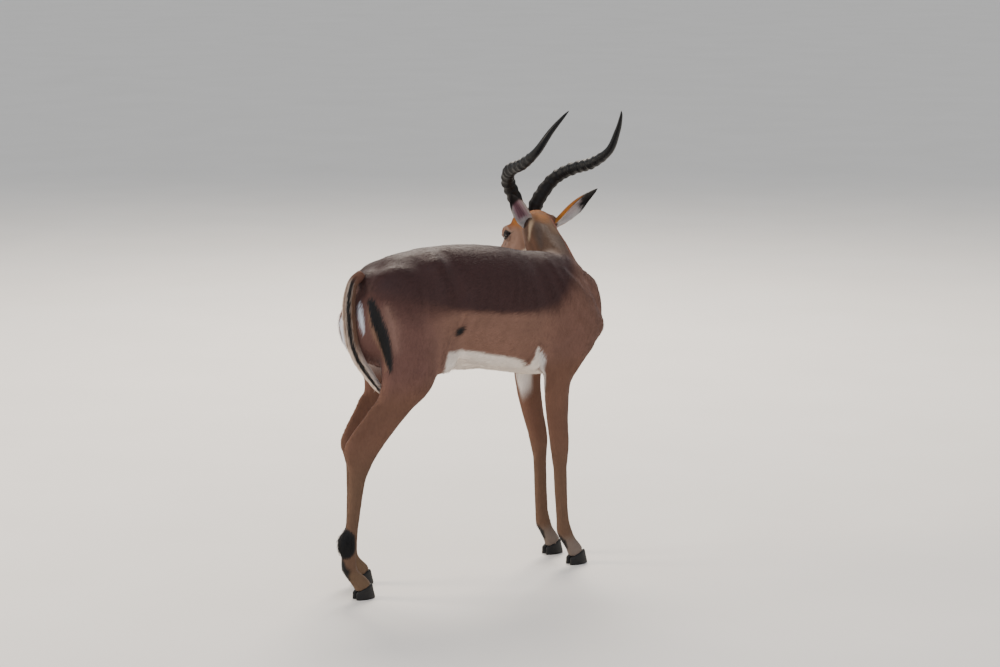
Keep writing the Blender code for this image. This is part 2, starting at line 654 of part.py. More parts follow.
def main():
    clear_scene()
    root = bpy.context.scene.collection
    parts = bpy.data.collections.new("impala")
    helpers = bpy.data.collections.new("helpers")
    root.children.link(parts)
    root.children.link(helpers)
    carver = Carver(helpers)
    body = flesh_mesh(helpers)

    for name in LEGS:
        body = carver.without(body, lambda bm: under_coronet(bm, name, margin=GAP))
    body = carver.without(body, lambda bm: tail(bm, margin=GAP))
    head_mesh, body = carver.take(body, lambda bm, margin=0.0: beyond(bm, *HEAD_CUT, margin=margin))
    neck_mesh, body = carver.take(body, lambda bm, margin=0.0: beyond(bm, *NECK_CUT, margin=margin))
    for name in LEGS:
        limb, body = carver.take(body, lambda bm, margin=0.0: region(bm, name, margin=margin))
        new_object(name, limb, parts, "saddle")
        for place, out in (("outer", 1), ("inner", -1)):
            hoof = mesh_from(lambda bm: claw(bm, name, out))
            new_object(name.replace("leg", "hoof") + "_" + place, hoof, parts, "hoof")
    new_object("trunk", body, parts, "saddle")
    new_object("neck", neck_mesh, parts, "saddle")
    new_object("tail", mesh_from(tail), parts, "tail")

    near_head, near_neck = swollen(head_mesh, GAP), swollen(neck_mesh, GAP)
    for word, s in (("left", 1), ("right", -1)):
        head_mesh = carver.without(head_mesh, lambda bm: eye(bm, s, EYE_RADIUS + GAP))
        new_object("eye_" + word, mesh_from(lambda bm: eye(bm, s, EYE_RADIUS)), parts, "eye")
        horn_mesh = carver.cut(mesh_from(lambda bm: horn(bm, s)), near_head, "DIFFERENCE")
        new_object("horn_" + word, horn_mesh, parts, "horn")
        ear = thickened(mesh_from(lambda bm: ear_sheet(bm, s)), EAR_WALL, helpers)
        ear = carver.cut(carver.cut(ear, near_head, "DIFFERENCE"), near_neck, "DIFFERENCE")
        new_object("ear_" + word, ear, parts, "ear")
    new_object("head", head_mesh, parts, "saddle")

    corners = [vert.co for obj in parts.objects for vert in obj.data.vertices]
    low, high = (Vector(pick(c[k] for c in corners) for k in range(3)) for pick in (min, max))
    middle = Vector(((low.x + high.x) / 2, (low.y + high.y) / 2, low.z))  # of the ram's box, at its base
    print("middle", *(round(v, 5) for v in middle))
    for obj in parts.objects:
        obj.data.transform(Matrix.Translation(-middle))

    for helper in helpers.objects:
        helper.hide_render = True
        helper.display_type = "WIRE"


main()
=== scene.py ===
import json
import math

import bmesh
import bpy
import numpy as np
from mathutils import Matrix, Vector
from mathutils.bvhtree import BVHTree

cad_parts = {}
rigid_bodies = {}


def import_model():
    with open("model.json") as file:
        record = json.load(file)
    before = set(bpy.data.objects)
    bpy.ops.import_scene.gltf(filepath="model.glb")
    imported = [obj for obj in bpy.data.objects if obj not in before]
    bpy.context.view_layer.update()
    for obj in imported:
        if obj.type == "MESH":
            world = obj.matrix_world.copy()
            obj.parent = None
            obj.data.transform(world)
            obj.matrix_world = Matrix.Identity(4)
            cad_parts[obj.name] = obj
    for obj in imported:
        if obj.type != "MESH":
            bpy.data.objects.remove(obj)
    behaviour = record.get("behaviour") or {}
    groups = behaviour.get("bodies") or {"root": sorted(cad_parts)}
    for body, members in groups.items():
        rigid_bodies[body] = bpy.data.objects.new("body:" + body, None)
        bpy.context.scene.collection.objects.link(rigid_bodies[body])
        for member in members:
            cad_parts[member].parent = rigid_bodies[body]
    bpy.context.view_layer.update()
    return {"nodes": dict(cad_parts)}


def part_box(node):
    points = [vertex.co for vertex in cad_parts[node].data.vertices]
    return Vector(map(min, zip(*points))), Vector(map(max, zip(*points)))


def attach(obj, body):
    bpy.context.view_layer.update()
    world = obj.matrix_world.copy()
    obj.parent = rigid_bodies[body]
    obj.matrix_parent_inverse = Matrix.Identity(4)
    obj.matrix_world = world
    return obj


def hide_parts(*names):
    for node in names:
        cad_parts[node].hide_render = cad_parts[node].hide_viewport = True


for leftover in list(bpy.data.objects):
    bpy.data.objects.remove(leftover)

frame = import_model()
nodes = frame["nodes"]
print("frame loaded:", len(nodes), "nodes")


# small helpers for numbers

def mm(rows):
    return np.array(rows, float) / 1000  # written in millimetres, used in metres


def unit(vectors):
    vectors = np.asarray(vectors, float)
    return vectors / np.maximum(np.linalg.norm(vectors, axis=-1, keepdims=True), 1e-9)


def rising(low, high, values):
    # 0 up to low, 1 from high on, soft between them
    t = np.clip((np.asarray(values, float) - low) / (high - low), 0, 1)
    return t * t * (3 - 2 * t)


def falling(low, high, values):
    return 1 - rising(low, high, values)


def mixed(first, second, share):
    return first * (1 - share) + second * share


def hump(values, middle, width):
    return np.exp(-((values - middle) / width) ** 2)


def smoothCurve(rows, count):
    # Catmull-Rom through rows of numbers, count steps in each span
    rows = np.array([rows[0], *rows, rows[-1]], float)
    rows[0] = 2 * rows[1] - rows[2]
    rows[-1] = 2 * rows[-2] - rows[-3]
    found = []
    for i in range(1, len(rows) - 2):
        a, b, c, d = rows[i - 1:i + 3]
        for t in [k / count for k in range(count)]:
            found.append(0.5 * (2 * b + (c - a) * t + (2 * a - 5 * b + 4 * c - d) * t * t
                                + (3 * b - a - 3 * c + d) * t ** 3))
    found.append(rows[-2])
    return np.array(found)


def circle(count):
    return [2 * math.pi * k / count for k in range(count)]


# small helpers for colours, node trees and materials

def toLinear(hexColour):
    channels = [int(hexColour[i:i + 2], 16) / 255 for i in (1, 3, 5)]
    return tuple(c / 12.92 if c <= 0.04045 else ((c + 0.055) / 1.055) ** 2.4 for c in channels)


def painter(colours, first, count):
    # tones of one colour for so many points, and the function that lays others over them
    tones = np.tile(toLinear(colours[first]), (count, 1))

    def lay(name, share):
        tones[:] = mixed(tones, np.array(toLinear(colours[name])), np.clip(share, 0, 1)[:, None])
    return tones, lay


def liveSocket(sockets, name):
    return sockets[name] if isinstance(name, int) else next(s for s in sockets if s.enabled and s.name == name)


def fillSocket(socket, value):
    # a link, a colour written as hex, or a plain value
    if isinstance(value, bpy.types.NodeSocket):
        socket.id_data.links.new(value, socket)
    elif isinstance(value, str) and value.startswith("#"):
        socket.default_value = (*toLinear(value), 1)
    else:
        socket.default_value = value


def addNode(tree, kind, inputs=None, **settings):
    node = tree.nodes.new(kind)
    for name, value in settings.items():
        setattr(node, name, value)
    for name, value in (inputs or {}).items():
        fillSocket(liveSocket(node.inputs, name), value)
    return next((s for s in node.outputs if s.enabled), node)  # the first live output; its .node is the node


def fillShader(shader, **sockets):
    for name, value in sockets.items():
        fillSocket(shader.inputs[name.replace("_", " ")], value)


def newMaterial(name, **sockets):
    made = bpy.data.materials.new(name)
    made.use_nodes = True
    shader = made.node_tree.nodes["Principled BSDF"]
    fillShader(shader, **sockets)
    return made, made.node_tree, shader


# small helpers for meshes

layerKinds = {1: ("FLOAT", "value"), 3: ("FLOAT_VECTOR", "vector"), 4: ("FLOAT_COLOR", "color")}
hairLayers = ("growth", "hairLength", "hairWidth", "hairLift")


def newObject(name, data):
    made = bpy.data.objects.new(name, data)
    bpy.context.scene.collection.objects.link(made)
    return made


def finishPiece(piece, materialUsed, slot, *replaced):
    piece.data.materials.clear()
    piece.data.materials.append(materialUsed)
    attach(piece, "root")
    if replaced:
        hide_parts(*replaced)


def evaluatedMesh(obj):
    bpy.context.view_layer.update()
    graph = bpy.context.evaluated_depsgraph_get()
    return bpy.data.meshes.new_from_object(obj.evaluated_get(graph))


def readArray(source, field, size, kind=np.float32):
    flat = np.empty(len(source) * size, kind)
    source.foreach_get(field, flat)
    return flat.reshape(-1, size) if size > 1 else flat


def pointsOf(mesh):
    return readArray(mesh.vertices, "co", 3).astype(float)


def normalsOf(mesh):
    return readArray(mesh.vertex_normals, "vector", 3).astype(float)


def trianglesOf(mesh):
    mesh.calc_loop_triangles()
    return readArray(mesh.loop_triangles, "vertices", 3, np.int32)


def readLayer(mesh, name, size=1):
    return readArray(mesh.attributes[name].data, layerKinds[size][1], size)


def storeOn(mesh, name, values):
    values = np.asarray(values, np.float32)
    kind, field = layerKinds[values.shape[1] if values.ndim > 1 else 1]
    layer = mesh.attributes.get(name) or mesh.attributes.new(name, kind, "POINT")
    layer.data.foreach_set(field, values.ravel())


def storeColour(mesh, name, tones):
    storeOn(mesh, name, np.hstack([tones, np.ones((len(tones), 1))]))


def storeHair(mesh, *values):
    for name, row in zip(hairLayers, values):
        storeOn(mesh, name, row)


def dropLayers(mesh, *names):
    for name in names:
        if name in mesh.attributes:
            mesh.attributes.remove(mesh.attributes[name])


def setPoints(mesh, points):
    mesh.vertices.foreach_set("co", points.astype(np.float32).ravel())
    mesh.update()


def editMesh(mesh, change):
    bm = bmesh.new()
    bm.from_mesh(mesh)
    change(bm)
    bm.to_mesh(mesh)
    bm.free()


def closedMesh(name, points, faces, triangulated=False):
    def close(bm):
        bmesh.ops.recalc_face_normals(bm, faces=bm.faces)
        if triangulated:
            bmesh.ops.triangulate(bm, faces=bm.faces)

    mesh = bpy.data.meshes.new(name)
    mesh.from_pydata(points, [], faces)
    editMesh(mesh, close)
    return mesh


def tubeMesh(name, rings):
    # rings of points, joined and closed at both ends
    count = len(rings[0])
    points = [tuple(p) for ring in rings for p in ring]
    faces = []
    for i in range(len(rings) - 1):
        for k in range(count):
            a, b = i * count + k, i * count + (k + 1) % count
            faces.append((a, b, b + count, a + count))
    faces += [tuple(reversed(range(count))), tuple(range(len(points) - count, len(points)))]
    mesh = closedMesh(name, points, faces)
    mesh.shade_smooth()
    return mesh


# the head's own directions, as the solids have them; distances in metres from the poll

headPose = {"poll": (0.420, 0.245, 0.937), "yaw": 91.5, "pitch": 24.5, "roll": 3.0,
            "eye": (0.091, 0.0460, -0.020), "eyeRadius": 0.0155}

yaw, pitch, roll = (math.radians(headPose[k]) for k in ("yaw", "pitch", "roll"))
up = Vector((0, 0, 1))
ahead = Vector((math.cos(yaw), math.sin(yaw), 0))
toLeft = up.cross(ahead) * math.cos(roll) + up * math.sin(roll)
forward = ahead * math.cos(pitch) - ahead.cross(toLeft) * math.sin(pitch)
headUp = forward.cross(toLeft)
aboveHead = ahead.cross(toLeft)
ahead, toLeft, forward, headUp, aboveHead = (np.array(v) for v in (ahead, toLeft, forward, headUp, aboveHead))
poll = np.array(headPose["poll"])


def onHead(f, l, u):
    return poll + forward * f + toLeft * l + headUp * u


def fromPoll(a, l, u):
    return poll + ahead * a + toLeft * l + aboveHead * u


def headSpace(body):
    away = body - poll
    return away @ forward, away @ toLeft, away @ headUp


low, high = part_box("eye_left")
bodyOrigin = onHead(*headPose["eye"]) - np.array((low + high) / 2)  # body numbers count from the middle of the back


# camera and studio

cameraView = {"target": (0.0, 0.0, 0.5), "azimuth": -31.3211, "elevation": 11.3062, "distance": 8.1144,
              "lens": 106.107, "shift": (0.04278, 0.06449)}

around, rise = math.radians(cameraView["azimuth"]), math.radians(cameraView["elevation"])
away = Vector((math.sin(around) * math.cos(rise), -math.cos(around) * math.cos(rise), math.sin(rise)))
camera = newObject("camera", bpy.data.cameras.new("camera"))
camera.location = Vector(cameraView["target"]) - Vector(bodyOrigin) + away * cameraView["distance"]
camera.rotation_euler = away.to_track_quat("Z", "Y").to_euler()
camera.data.lens = cameraView["lens"]
camera.data.sensor_width = 36
camera.data.shift_x, camera.data.shift_y = cameraView["shift"]
camera.data.clip_end = 200
bpy.context.scene.camera = camera

studio = {
    "key": {"from": (2.2, 3.6, 4.8), "size": 3.4, "power": 540, "colour": "#fff3e4"},
    "fill": {"from": (-2.4, -4.6, 2.8), "size": 4.5, "power": 92, "colour": "#f0f3ff"},
    "rim": {"from": (-4.2, 1.9, 2.2), "size": 1.6, "power": 150, "colour": "#ffeeda"},
    "aim": (0, 0, 0.6), "air": "#eef1f5", "airStrength": 0.78, "floorHalf": 30,
}
for lampName in ("key", "fill", "rim"):
    settings = studio[lampName]
    lamp = newObject("lamp" + lampName.capitalize(), bpy.data.lights.new(lampName, "AREA"))
    lamp.location = Vector(settings["from"])
    lamp.rotation_euler = (lamp.location - Vector(studio["aim"])).to_track_quat("Z", "Y").to_euler()
    lamp.data.shape = "DISK"
    lamp.data.size = settings["size"]
    lamp.data.energy = settings["power"]
    lamp.data.color = toLinear(settings["colour"])

world = bpy.data.worlds.new("studioAir")
bpy.context.scene.world = world
world.use_nodes = True
fillSocket(world.node_tree.nodes["Background"].inputs["Color"], studio["air"])
fillSocket(world.node_tree.nodes["Background"].inputs["Strength"], studio["airStrength"])


def giveFloor():
    # painted board, matt, a little uneven in tone
    made, tree, shader = newMaterial("mattPaintedFloor", Roughness=0.85)
    place = addNode(tree, "ShaderNodeTexCoord").node.outputs["Object"]
    unevenness = addNode(tree, "ShaderNodeTexNoise", {"Vector": place, "Scale": 2.0, "Detail": 6.0})
    paint = addNode(tree, "ShaderNodeMix", {"Factor": unevenness, "A": "#dedbd6", "B": "#e8e5e1"},
                    data_type="RGBA")
    fillShader(shader, Base_Color=paint)
    half = studio["floorHalf"]
    mesh = bpy.data.meshes.new("floor")
    mesh.from_pydata([(-half, -half, 0), (half, -half, 0), (half, half, 0), (-half, half, 0)], [], [(0, 1, 2, 3)])
    mesh.materials.append(made)
    newObject("floor", mesh)


giveFloor()
print("camera, lamps and floor placed")


# skin: one closed surface through head, neck, trunk and legs, inside the solids by the depth of the coat

skinPiece = {"voxel": 0.0064, "swell": 0.0008, "fineBelow": 0.34,
             "rounds": (12, 44, 9), "depth": (0.0008, 0.0018, 0.0007)}  # legs, trunk, head
fleshNodes = ["head", "neck", "trunk", "fore_leg_left", "fore_leg_right", "hind_leg_left", "hind_leg_right"]
headFromSide = 0.16  # all of the head lies further to the left than this


def headness(body):
    # 1 on the head, 0 on the rest, soft over 35 mm across the throat
    return rising(-0.030, 0.005, headSpace(body)[0]) * (body[:, 1] > headFromSide)


def perPart(body, amounts):
    # an amount for each point: legs, trunk and head have their own, blended where they meet
    legAmount, trunkAmount, headAmount = amounts
    headShare = headness(body)
    trunkShare = rising(0.58, 0.72, body[:, 2]) * (1 - headShare)
    return legAmount * (1 - trunkShare) * (1 - headShare) + trunkAmount * trunkShare + headAmount * headShare


def mergedCopy(name):
    def merge(bm):
        bmesh.ops.remove_doubles(bm, verts=bm.verts, dist=1e-5)
        bm.normal_update()
        moves = [v.normal * skinPiece["swell"] for v in bm.verts]
        for v, move in zip(bm.verts, moves):
            v.co += move

    copy = nodes[name].data.copy()
    editMesh(copy, merge)
    return copy


def keepMainIsland(bm):
    left = set(bm.verts)
    islands = []
    while left:
        stack = [left.pop()]
        found = [stack[0]]
        while stack:
            for edge in stack.pop().link_edges:
                for v in edge.verts:
                    if v in left:
                        left.discard(v)
                        stack.append(v)
                        found.append(v)
        islands.append(found)
    islands.sort(key=len)
    for extra in islands[:-1]:
        bmesh.ops.delete(bm, geom=extra, context="VERTS")


def soften(mesh, weights, rounds, inward=0.60, outward=0.62):
    # smoothing that keeps the volume: one step in, one a little longer out
    points = pointsOf(mesh)
    a, b = readArray(mesh.edges, "vertices", 2, np.int32).T
    count = len(points)
    degree = np.maximum(np.bincount(a, minlength=count) + np.bincount(b, minlength=count), 1)

    def towardsNeighbours():
        total = np.empty_like(points)
        for axis in range(3):
            total[:, axis] = np.bincount(a, points[b, axis], count) + np.bincount(b, points[a, axis], count)
        return total / degree[:, None] - points

    for i in range(rounds):
        share = np.clip(weights - i, 0, 1)[:, None]
        points += inward * share * towardsNeighbours()
        points -= outward * share * towardsNeighbours()
    setPoints(mesh, points)


def fineFaces(mesh):
    # smaller faces on the lower legs, and smaller still on the head
    def near(points, headFrom):
        body = points + bodyOrigin
        if headFrom is None:
            return body[:, 2] < skinPiece["fineBelow"]
        return (body[:, 1] > headFromSide) & (headSpace(body)[0] > headFrom)

    def divide(bm):
        bm.verts.ensure_lookup_table()
        picked = set(np.nonzero(near(np.array([v.co for v in bm.verts]), divideFrom))[0].tolist())
        edges = [e for e in bm.edges if e.verts[0].index in picked and e.verts[1].index in picked]
        bmesh.ops.subdivide_edges(bm, edges=edges, cuts=1, use_grid_fill=True, smooth=0.0)

    for divideFrom, softenFrom in ((None, None), (-0.028, -0.03), (0.045, -0.03)):
        editMesh(mesh, divide)
        soften(mesh, near(pointsOf(mesh), softenFrom) * 4.0, 4)
    print("skin refined:", len(mesh.polygons), "faces")


def makeSkinShape():
    bm = bmesh.new()
    for name in fleshNodes + ["eye_left", "eye_right"]:
        bm.from_mesh(mergedCopy(name))
    skin = newObject("skin", bpy.data.meshes.new("skin"))
    bm.to_mesh(skin.data)
    bm.free()
    remesh = skin.modifiers.new("one surface", "REMESH")
    remesh.mode = "VOXEL"
    remesh.voxel_size = skinPiece["voxel"]
    mesh = evaluatedMesh(skin)
    skin.modifiers.clear()
    skin.data = mesh
    editMesh(mesh, keepMainIsland)
    print("skin remeshed:", len(mesh.polygons), "faces")
    rounds = perPart(pointsOf(mesh) + bodyOrigin, skinPiece["rounds"])
    soften(mesh, rounds, int(rounds.max()) + 1)
    fineFaces(mesh)
    depth = perPart(pointsOf(mesh) + bodyOrigin, skinPiece["depth"])
    setPoints(mesh, pointsOf(mesh) - normalsOf(mesh) * depth[:, None])
    mesh.shade_smooth()
    return skin


skin = makeSkinShape()


# the legs' patterns, placed as the solids have them

hindLegs, foreLegs = ("hind_leg_right", "hind_leg_left"), ("fore_leg_right", "fore_leg_left")
footAhead = {"hind": -0.352, "fore": 0.349}
footAside = {"hind": 0.090, "fore": 0.072}
legSway = {  # mm: height in the pattern, set forward, set inward, set down; the right legs are the pattern
    "hind_leg_left": ((0, 72, 45, 0), (140, 88, 32, 4), (300, 88, 18, 16), (424, 88, 7, 24), (500, 78, 0, 16),
        (550, 56, 0, 8), (600, 36, 0, 0), (660, 14, 0, 0), (750, 0, 0, 0)),
    "fore_leg_left": ((0, 6, 10, 0), (100, 14, 12, 0), (260, 18, 13, 0), (340, 16, 13, 0), (430, 6, 7, 0),
        (520, -3, 0, 0), (600, -3, 0, 0), (750, 0, 0, 0)),
}
still = ((0, 0, 0, 0), (750, 0, 0, 0))


def sideOf(leg):
    return 1 if leg.endswith("left") else -1


def swayOf(leg):
    return mm(legSway.get(leg, still)).T


def legPoint(leg, x, y, z):
    heights, *sways = swayOf(leg)
    forth, inward, down = (float(np.interp(z, heights, sway)) for sway in sways)
    return footAhead[leg[:4]] + x + forth, sideOf(leg) * (y - inward), z - down


def legSpace(leg, body):
    # the other way: points of the body in the leg's own pattern
    heights, forth, inward, down = swayOf(leg)
    z = np.where(body[:, 2] < heights[-1], np.interp(body[:, 2], heights - down, heights), body[:, 2])
    return (body[:, 0] - footAhead[leg[:4]] - np.interp(z, heights, forth),
            sideOf(leg) * body[:, 1] + np.interp(z, heights, inward), z)


def legRows(leg, rows, drop=0.0, size=1.0):
    # rows in mm of place and half width, from a leg's pattern to the leg
    return [(*legPoint(leg, x, y, z - drop), half * size) for x, y, z, half in mm(rows)]


def headRows(side, rows):
    return [(*onHead(f, side * l, u), half) for f, l, u, half in mm(rows)]


# relief: ridges and grooves along lines on the skin, (x, y, z) from the middle of the back, then height and width,
# all in mm

trunkRelief = [  # on the right side; the left side has its mirror
    # hip bone and the hollow ahead of it
    ([(-104, -50, 915), (-98, -75, 898), (-92, -95, 862), (-84, -106, 820)], 4.4, 22),
    ([(-66, -52, 915), (-60, -80, 892), (-48, -100, 850), (-40, -108, 812)], -4, 22),
    # hollow of the flank above the fold, and the fold to the stifle
    ([(-30, -112, 800), (-20, -114, 760), (-28, -112, 715)], -3.5, 26),
    ([(-91, -100, 618), (-83, -101, 655), (-68, -100, 690), (-50, -106, 715), (-40, -110, 745)], -5.4, 9),
    ([(-112, -102, 620), (-104, -103, 658), (-92, -104, 698), (-78, -108, 735)], 3, 14),
    # haunch: two long muscles with the groove between them
    ([(-268, -84, 790), (-252, -96, 720), (-246, -104, 650), (-252, -108, 585)], -3.6, 10),
    ([(-205, -105, 800), (-196, -112, 730), (-204, -118, 660)], 3, 30),
    ([(-292, -75, 790), (-286, -86, 720), (-276, -98, 650)], 2, 12),
    ([(-150, -104, 820), (-150, -112, 760), (-168, -116, 690), (-190, -118, 630)], -2.4, 14),
    # shoulder blade, its spine, and the groove behind the shoulder
    ([(262, -60, 876), (290, -90, 800), (330, -100, 715)], 3, 14),
    ([(205, -70, 868), (215, -105, 800), (220, -114, 730), (216, -108, 660)], -2.6, 24),
    ([(245, -84, 850), (258, -104, 780), (262, -110, 720)], 1.8, 24),
    ([(330, -70, 850), (362, -78, 800), (376, -84, 740)], -3, 14),
    ([(262, -112, 690), (250, -112, 650), (236, -106, 615)], 2.6, 18),
    # upper arm against the elbow, and the fold behind the elbow
    ([(330, -102, 690), (300, -110, 665), (266, -110, 640)], -2.4, 10),
    ([(206, -100, 640), (200, -92, 612), (196, -80, 592)], -3.4, 9),
    ([(352, -92, 690), (350, -92, 650), (340, -90, 620)], 2.2, 15),
    # breast
    ([(452, -12, 700), (440, -16, 640), (405, -18, 585)], 2, 13),
    ([(420, -46, 760), (408, -50, 690), (384, -52, 620)], -2.2, 13),
    # belly line
    ([(150, -98, 640), (50, -100, 645), (-30, -94, 650)], -1, 20),
    # seat bone and the tail's root
    ([(-318, -46, 800), (-312, -56, 770)], 2.4, 15),
    ([(-326, -22, 850), (-334, -26, 815), (-334, -30, 770)], -2.6, 10),
]
for rib in range(7):  # the last ribs show faintly under the coat
    top, low = 165 - 30 * rib, 118 - 32 * rib
    trunkRelief.append(([(top, -105, 835), (top - 16, -119, 770), (low, -118, 700)], 0.4 + 0.1 * (rib % 2), 9))
for knob in range(13):  # spines of the back
    x = 210 - 34 * knob
    trunkRelief.append(([(x, 0, 930), (x - 10, 0, 930)], 0.9, 11))

neckRelief = [  # both sides of the bent neck
    ([(342, -30, 868), (338, 55, 905), (352, 128, 940), (384, 198, 964)], 2.4, 11),
    ([(386, -46, 806), (418, 40, 842), (424, 120, 878), (444, 190, 902)], -3, 12),
    ([(416, -26, 770), (436, 50, 815), (434, 120, 850), (438, 190, 872)], 2.4, 13),
    ([(300, 66, 846), (318, 110, 878), (342, 160, 908), (366, 205, 926)], -2.6, 11),
    ([(318, 90, 820), (330, 128, 848), (352, 172, 872), (376, 214, 886)], 2, 12),
]

hindRelief = [  # in the leg's own pattern: x from the foot, from the midline, height
    ([(196, 112, 660), (178, 118, 610), (150, 118, 565)], 2.6, 15),  # stifle
    ([(116, 126, 610), (92, 126, 560), (64, 124, 505), (40, 118, 462)], -2.6, 9),
    ([(44, 112, 520), (12, 110, 470), (-14, 108, 430)], -2.6, 7),  # ahead of the tendon
    ([(44, 76, 520), (12, 78, 470), (-14, 80, 430)], -2.4, 7),
    ([(120, 120, 560), (88, 118, 500), (52, 116, 450)], 1.8, 10),
    ([(-42, 94, 428), (-48, 94, 404)], 1.8, 8),  # heel bone
    ([(12, 116, 398), (4, 114, 376)], 1.8, 9), ([(12, 72, 398), (4, 74, 376)], 1.6, 9),
    ([(34, 94, 420), (30, 94, 390)], 1.2, 9),
    ([(-18, 108, 330), (-28, 107, 240), (-36, 106, 165)], -1.5, 4.5),  # between bone and tendons
    ([(-18, 78, 330), (-28, 77, 240), (-36, 76, 165)], -1.5, 4.5),
    ([(-38, 108, 112), (-42, 107, 98)], 1.2, 8),  # fetlock
    ([(-38, 72, 112), (-42, 73, 98)], 1.2, 8), ([(-20, 104, 86), (-10, 105, 66)], -0.9, 6),
]
foreRelief = [
    ([(-50, 106, 600), (-58, 104, 550), (-62, 100, 490)], 1.8, 12),  # forearm
    ([(-82, 104, 580), (-84, 100, 520), (-80, 94, 450)], -1.8, 7),
    ([(-30, 96, 560), (-40, 94, 500), (-46, 90, 430)], -1.2, 7), ([(-110, 78, 600), (-106, 78, 576)], 2, 10),
    ([(-34, 78, 368), (-34, 76, 340)], 1.3, 9),  # knee bones
    ([(-44, 90, 378), (-44, 90, 336)], 1.4, 7), ([(-44, 54, 378), (-44, 54, 336)], 1.4, 7),
    ([(-78, 74, 352), (-78, 73, 330)], 1.6, 8), ([(-36, 72, 318), (-40, 72, 306)], -1, 8),
    ([(-60, 88, 290), (-56, 87, 200), (-49, 87, 140)], -1.4, 4.2),
    ([(-60, 56, 290), (-56, 57, 200), (-49, 57, 140)], -1.4, 4.2), ([(-38, 90, 108), (-40, 89, 96)], 1.2, 8),
    ([(-38, 54, 108), (-40, 55, 96)], 1.2, 8), ([(-16, 86, 82), (-8, 87, 64)], -0.8, 6),
]

headRelief = [  # forward, to the side, up, on the head; both sides
    ([(66, 44, 10), (90, 50, 9), (110, 45, 3)], 2, 6.5),  # brow over the eye
    ([(112, 43, -22), (130, 37, -27), (152, 32, -32)], -2.4, 6.5),  # hollow ahead of the eye
    ([(104, 47, -40), (128, 40, -44), (150, 33, -47)], 1.8, 5.5),  # cheekbone under the eye
    ([(66, 49, -36), (88, 49, -40), (108, 45, -43)], 1.6, 6),
    ([(46, 50, -44), (66, 48, -62), (84, 43, -76)], 1.6, 11),  # jaw muscle
    ([(28, 46, -20), (22, 48, -46), (34, 44, -70)], -1.5, 10),  # behind the jaw
    ([(104, 38, -60), (130, 31, -58), (160, 26, -58)], -1.9, 7),  # under the cheekbone
    ([(116, 22, -84), (150, 19, -76), (196, 15, -74)], 1.2, 5),  # edge of the lower jaw
    ([(60, 18, 26), (90, 20, 20), (116, 18, 10)], 1, 8),
    ([(128, 10, 0), (170, 10, -16), (215, 11, -30)], 1.3, 5.5),  # long bone of the nose
    ([(130, 24, -12), (170, 21, -28), (205, 20, -40)], -0.9, 5.5), ([(40, 34, 22), (22, 40, 14)], -1.2, 8),
    ([(246, 4, -70.5), (232, 15, -69.5), (214, 21.5, -67), (192, 24.5, -64), (176, 26, -60)], -2.5, 1.9),  # mouth
    ([(240, 12, -64), (222, 20.5, -61), (200, 24, -58.5)], 1, 4),  # upper lip
    ([(236, 12, -76), (216, 18, -75), (196, 21, -72)], 1, 4),  # lower lip
    ([(252, 0, -48), (250, 0, -60), (247, 0, -69)], -0.9, 1.6),  # cleft of the lip
    ([(244, 9.5, -47), (245, 12.5, -52), (240, 16.5, -53)], -2.8, 2.3),  # nostril
    ([(246, 7, -44), (240, 13.5, -43), (233, 18.5, -47.5)], 1, 2.8),  # its rim
    ([(247, 11, -58), (241, 17, -58.5)], 0.7, 2.5), ([(-4, 34, 10), (10, 30, 20)], 0.8, 8),
]
reliefSteps = {"fine": 0.003, "coarse": 0.012, "fineBelow": 7, "reach": 2.8}


def laidOnSkin(path, tree, step):
    # the path in short steps, each set on the skin
    found = []
    for a, b in zip(path[:-1], path[1:]):
        count = max(1, int(np.linalg.norm(b - a) / step))
        found += [a + (b - a) * k / count for k in range(count)]
    found.append(path[-1])
    return np.array([tree.find_nearest(Vector(p - bodyOrigin))[0] for p in found]) + bodyOrigin


def closeness(points, path, width):
    # 1 on the path, falling to nothing a few widths away
    reach = reliefSteps["reach"] * width
    near = np.nonzero(np.all((points > path.min(0) - reach) & (points < path.max(0) + reach), axis=1))[0]
    found = np.zeros(len(points))
    if not len(near):
        return found
    local = points[near]
    best = np.full(len(local), 1e9)
    for a, b in zip(path[:-1], path[1:]):
        along = b - a
        t = np.clip(((local - a) @ along) / max(along @ along, 1e-12), 0, 1)
        best = np.minimum(best, np.linalg.norm(local - (a + t[:, None] * along), axis=1))
    found[near] = np.exp(-(best / width) ** 2)
    return found


def giveRelief(mesh):
    body = pointsOf(mesh) + bodyOrigin
    tree = BVHTree.FromPolygons([v.co for v in mesh.vertices], [p.vertices for p in mesh.polygons])
    lines = []
    for path, height, width in trunkRelief:
        path = mm(path)
        mirrored = [path * (1, -1, 1)] if np.abs(path[:, 1]).max() > 1e-6 else []
        lines += [(line, height, width) for line in [path] + mirrored]
    lines += [(mm(path), height, width) for path, height, width in neckRelief]
    for legPair, relief in ((hindLegs, hindRelief), (foreLegs, foreRelief)):
        lines += [([legPoint(leg, *p) for p in mm(path)], height, width) for leg in legPair
                  for path, height, width in relief]
    for path, height, width in headRelief:
        sides = (1,) if all(l == 0 for f, l, u in path) else (1, -1)
        lines += [([onHead(f, side * l, u) for f, l, u in mm(path)], height, width) for side in sides]
    rise = np.zeros(len(body))
    for path, height, width in lines:
        step = reliefSteps["fine" if width < reliefSteps["fineBelow"] else "coarse"]
        rise += height * closeness(body, laidOnSkin(np.array(path, float), tree, step), width / 1000)
    setPoints(mesh, pointsOf(mesh) + normalsOf(mesh) * (rise / 1000)[:, None])


# eyelids: the skin laid over the ball of the eye, open in an almond

lidSettings = {"over": 0.0013, "under": 0.0030, "halfWide": 65, "halfHigh": 39, "reach": 0.0245, "tilt": -6,
               "look": (-0.14, 0.975, 0.13)}  # forward, aside, up


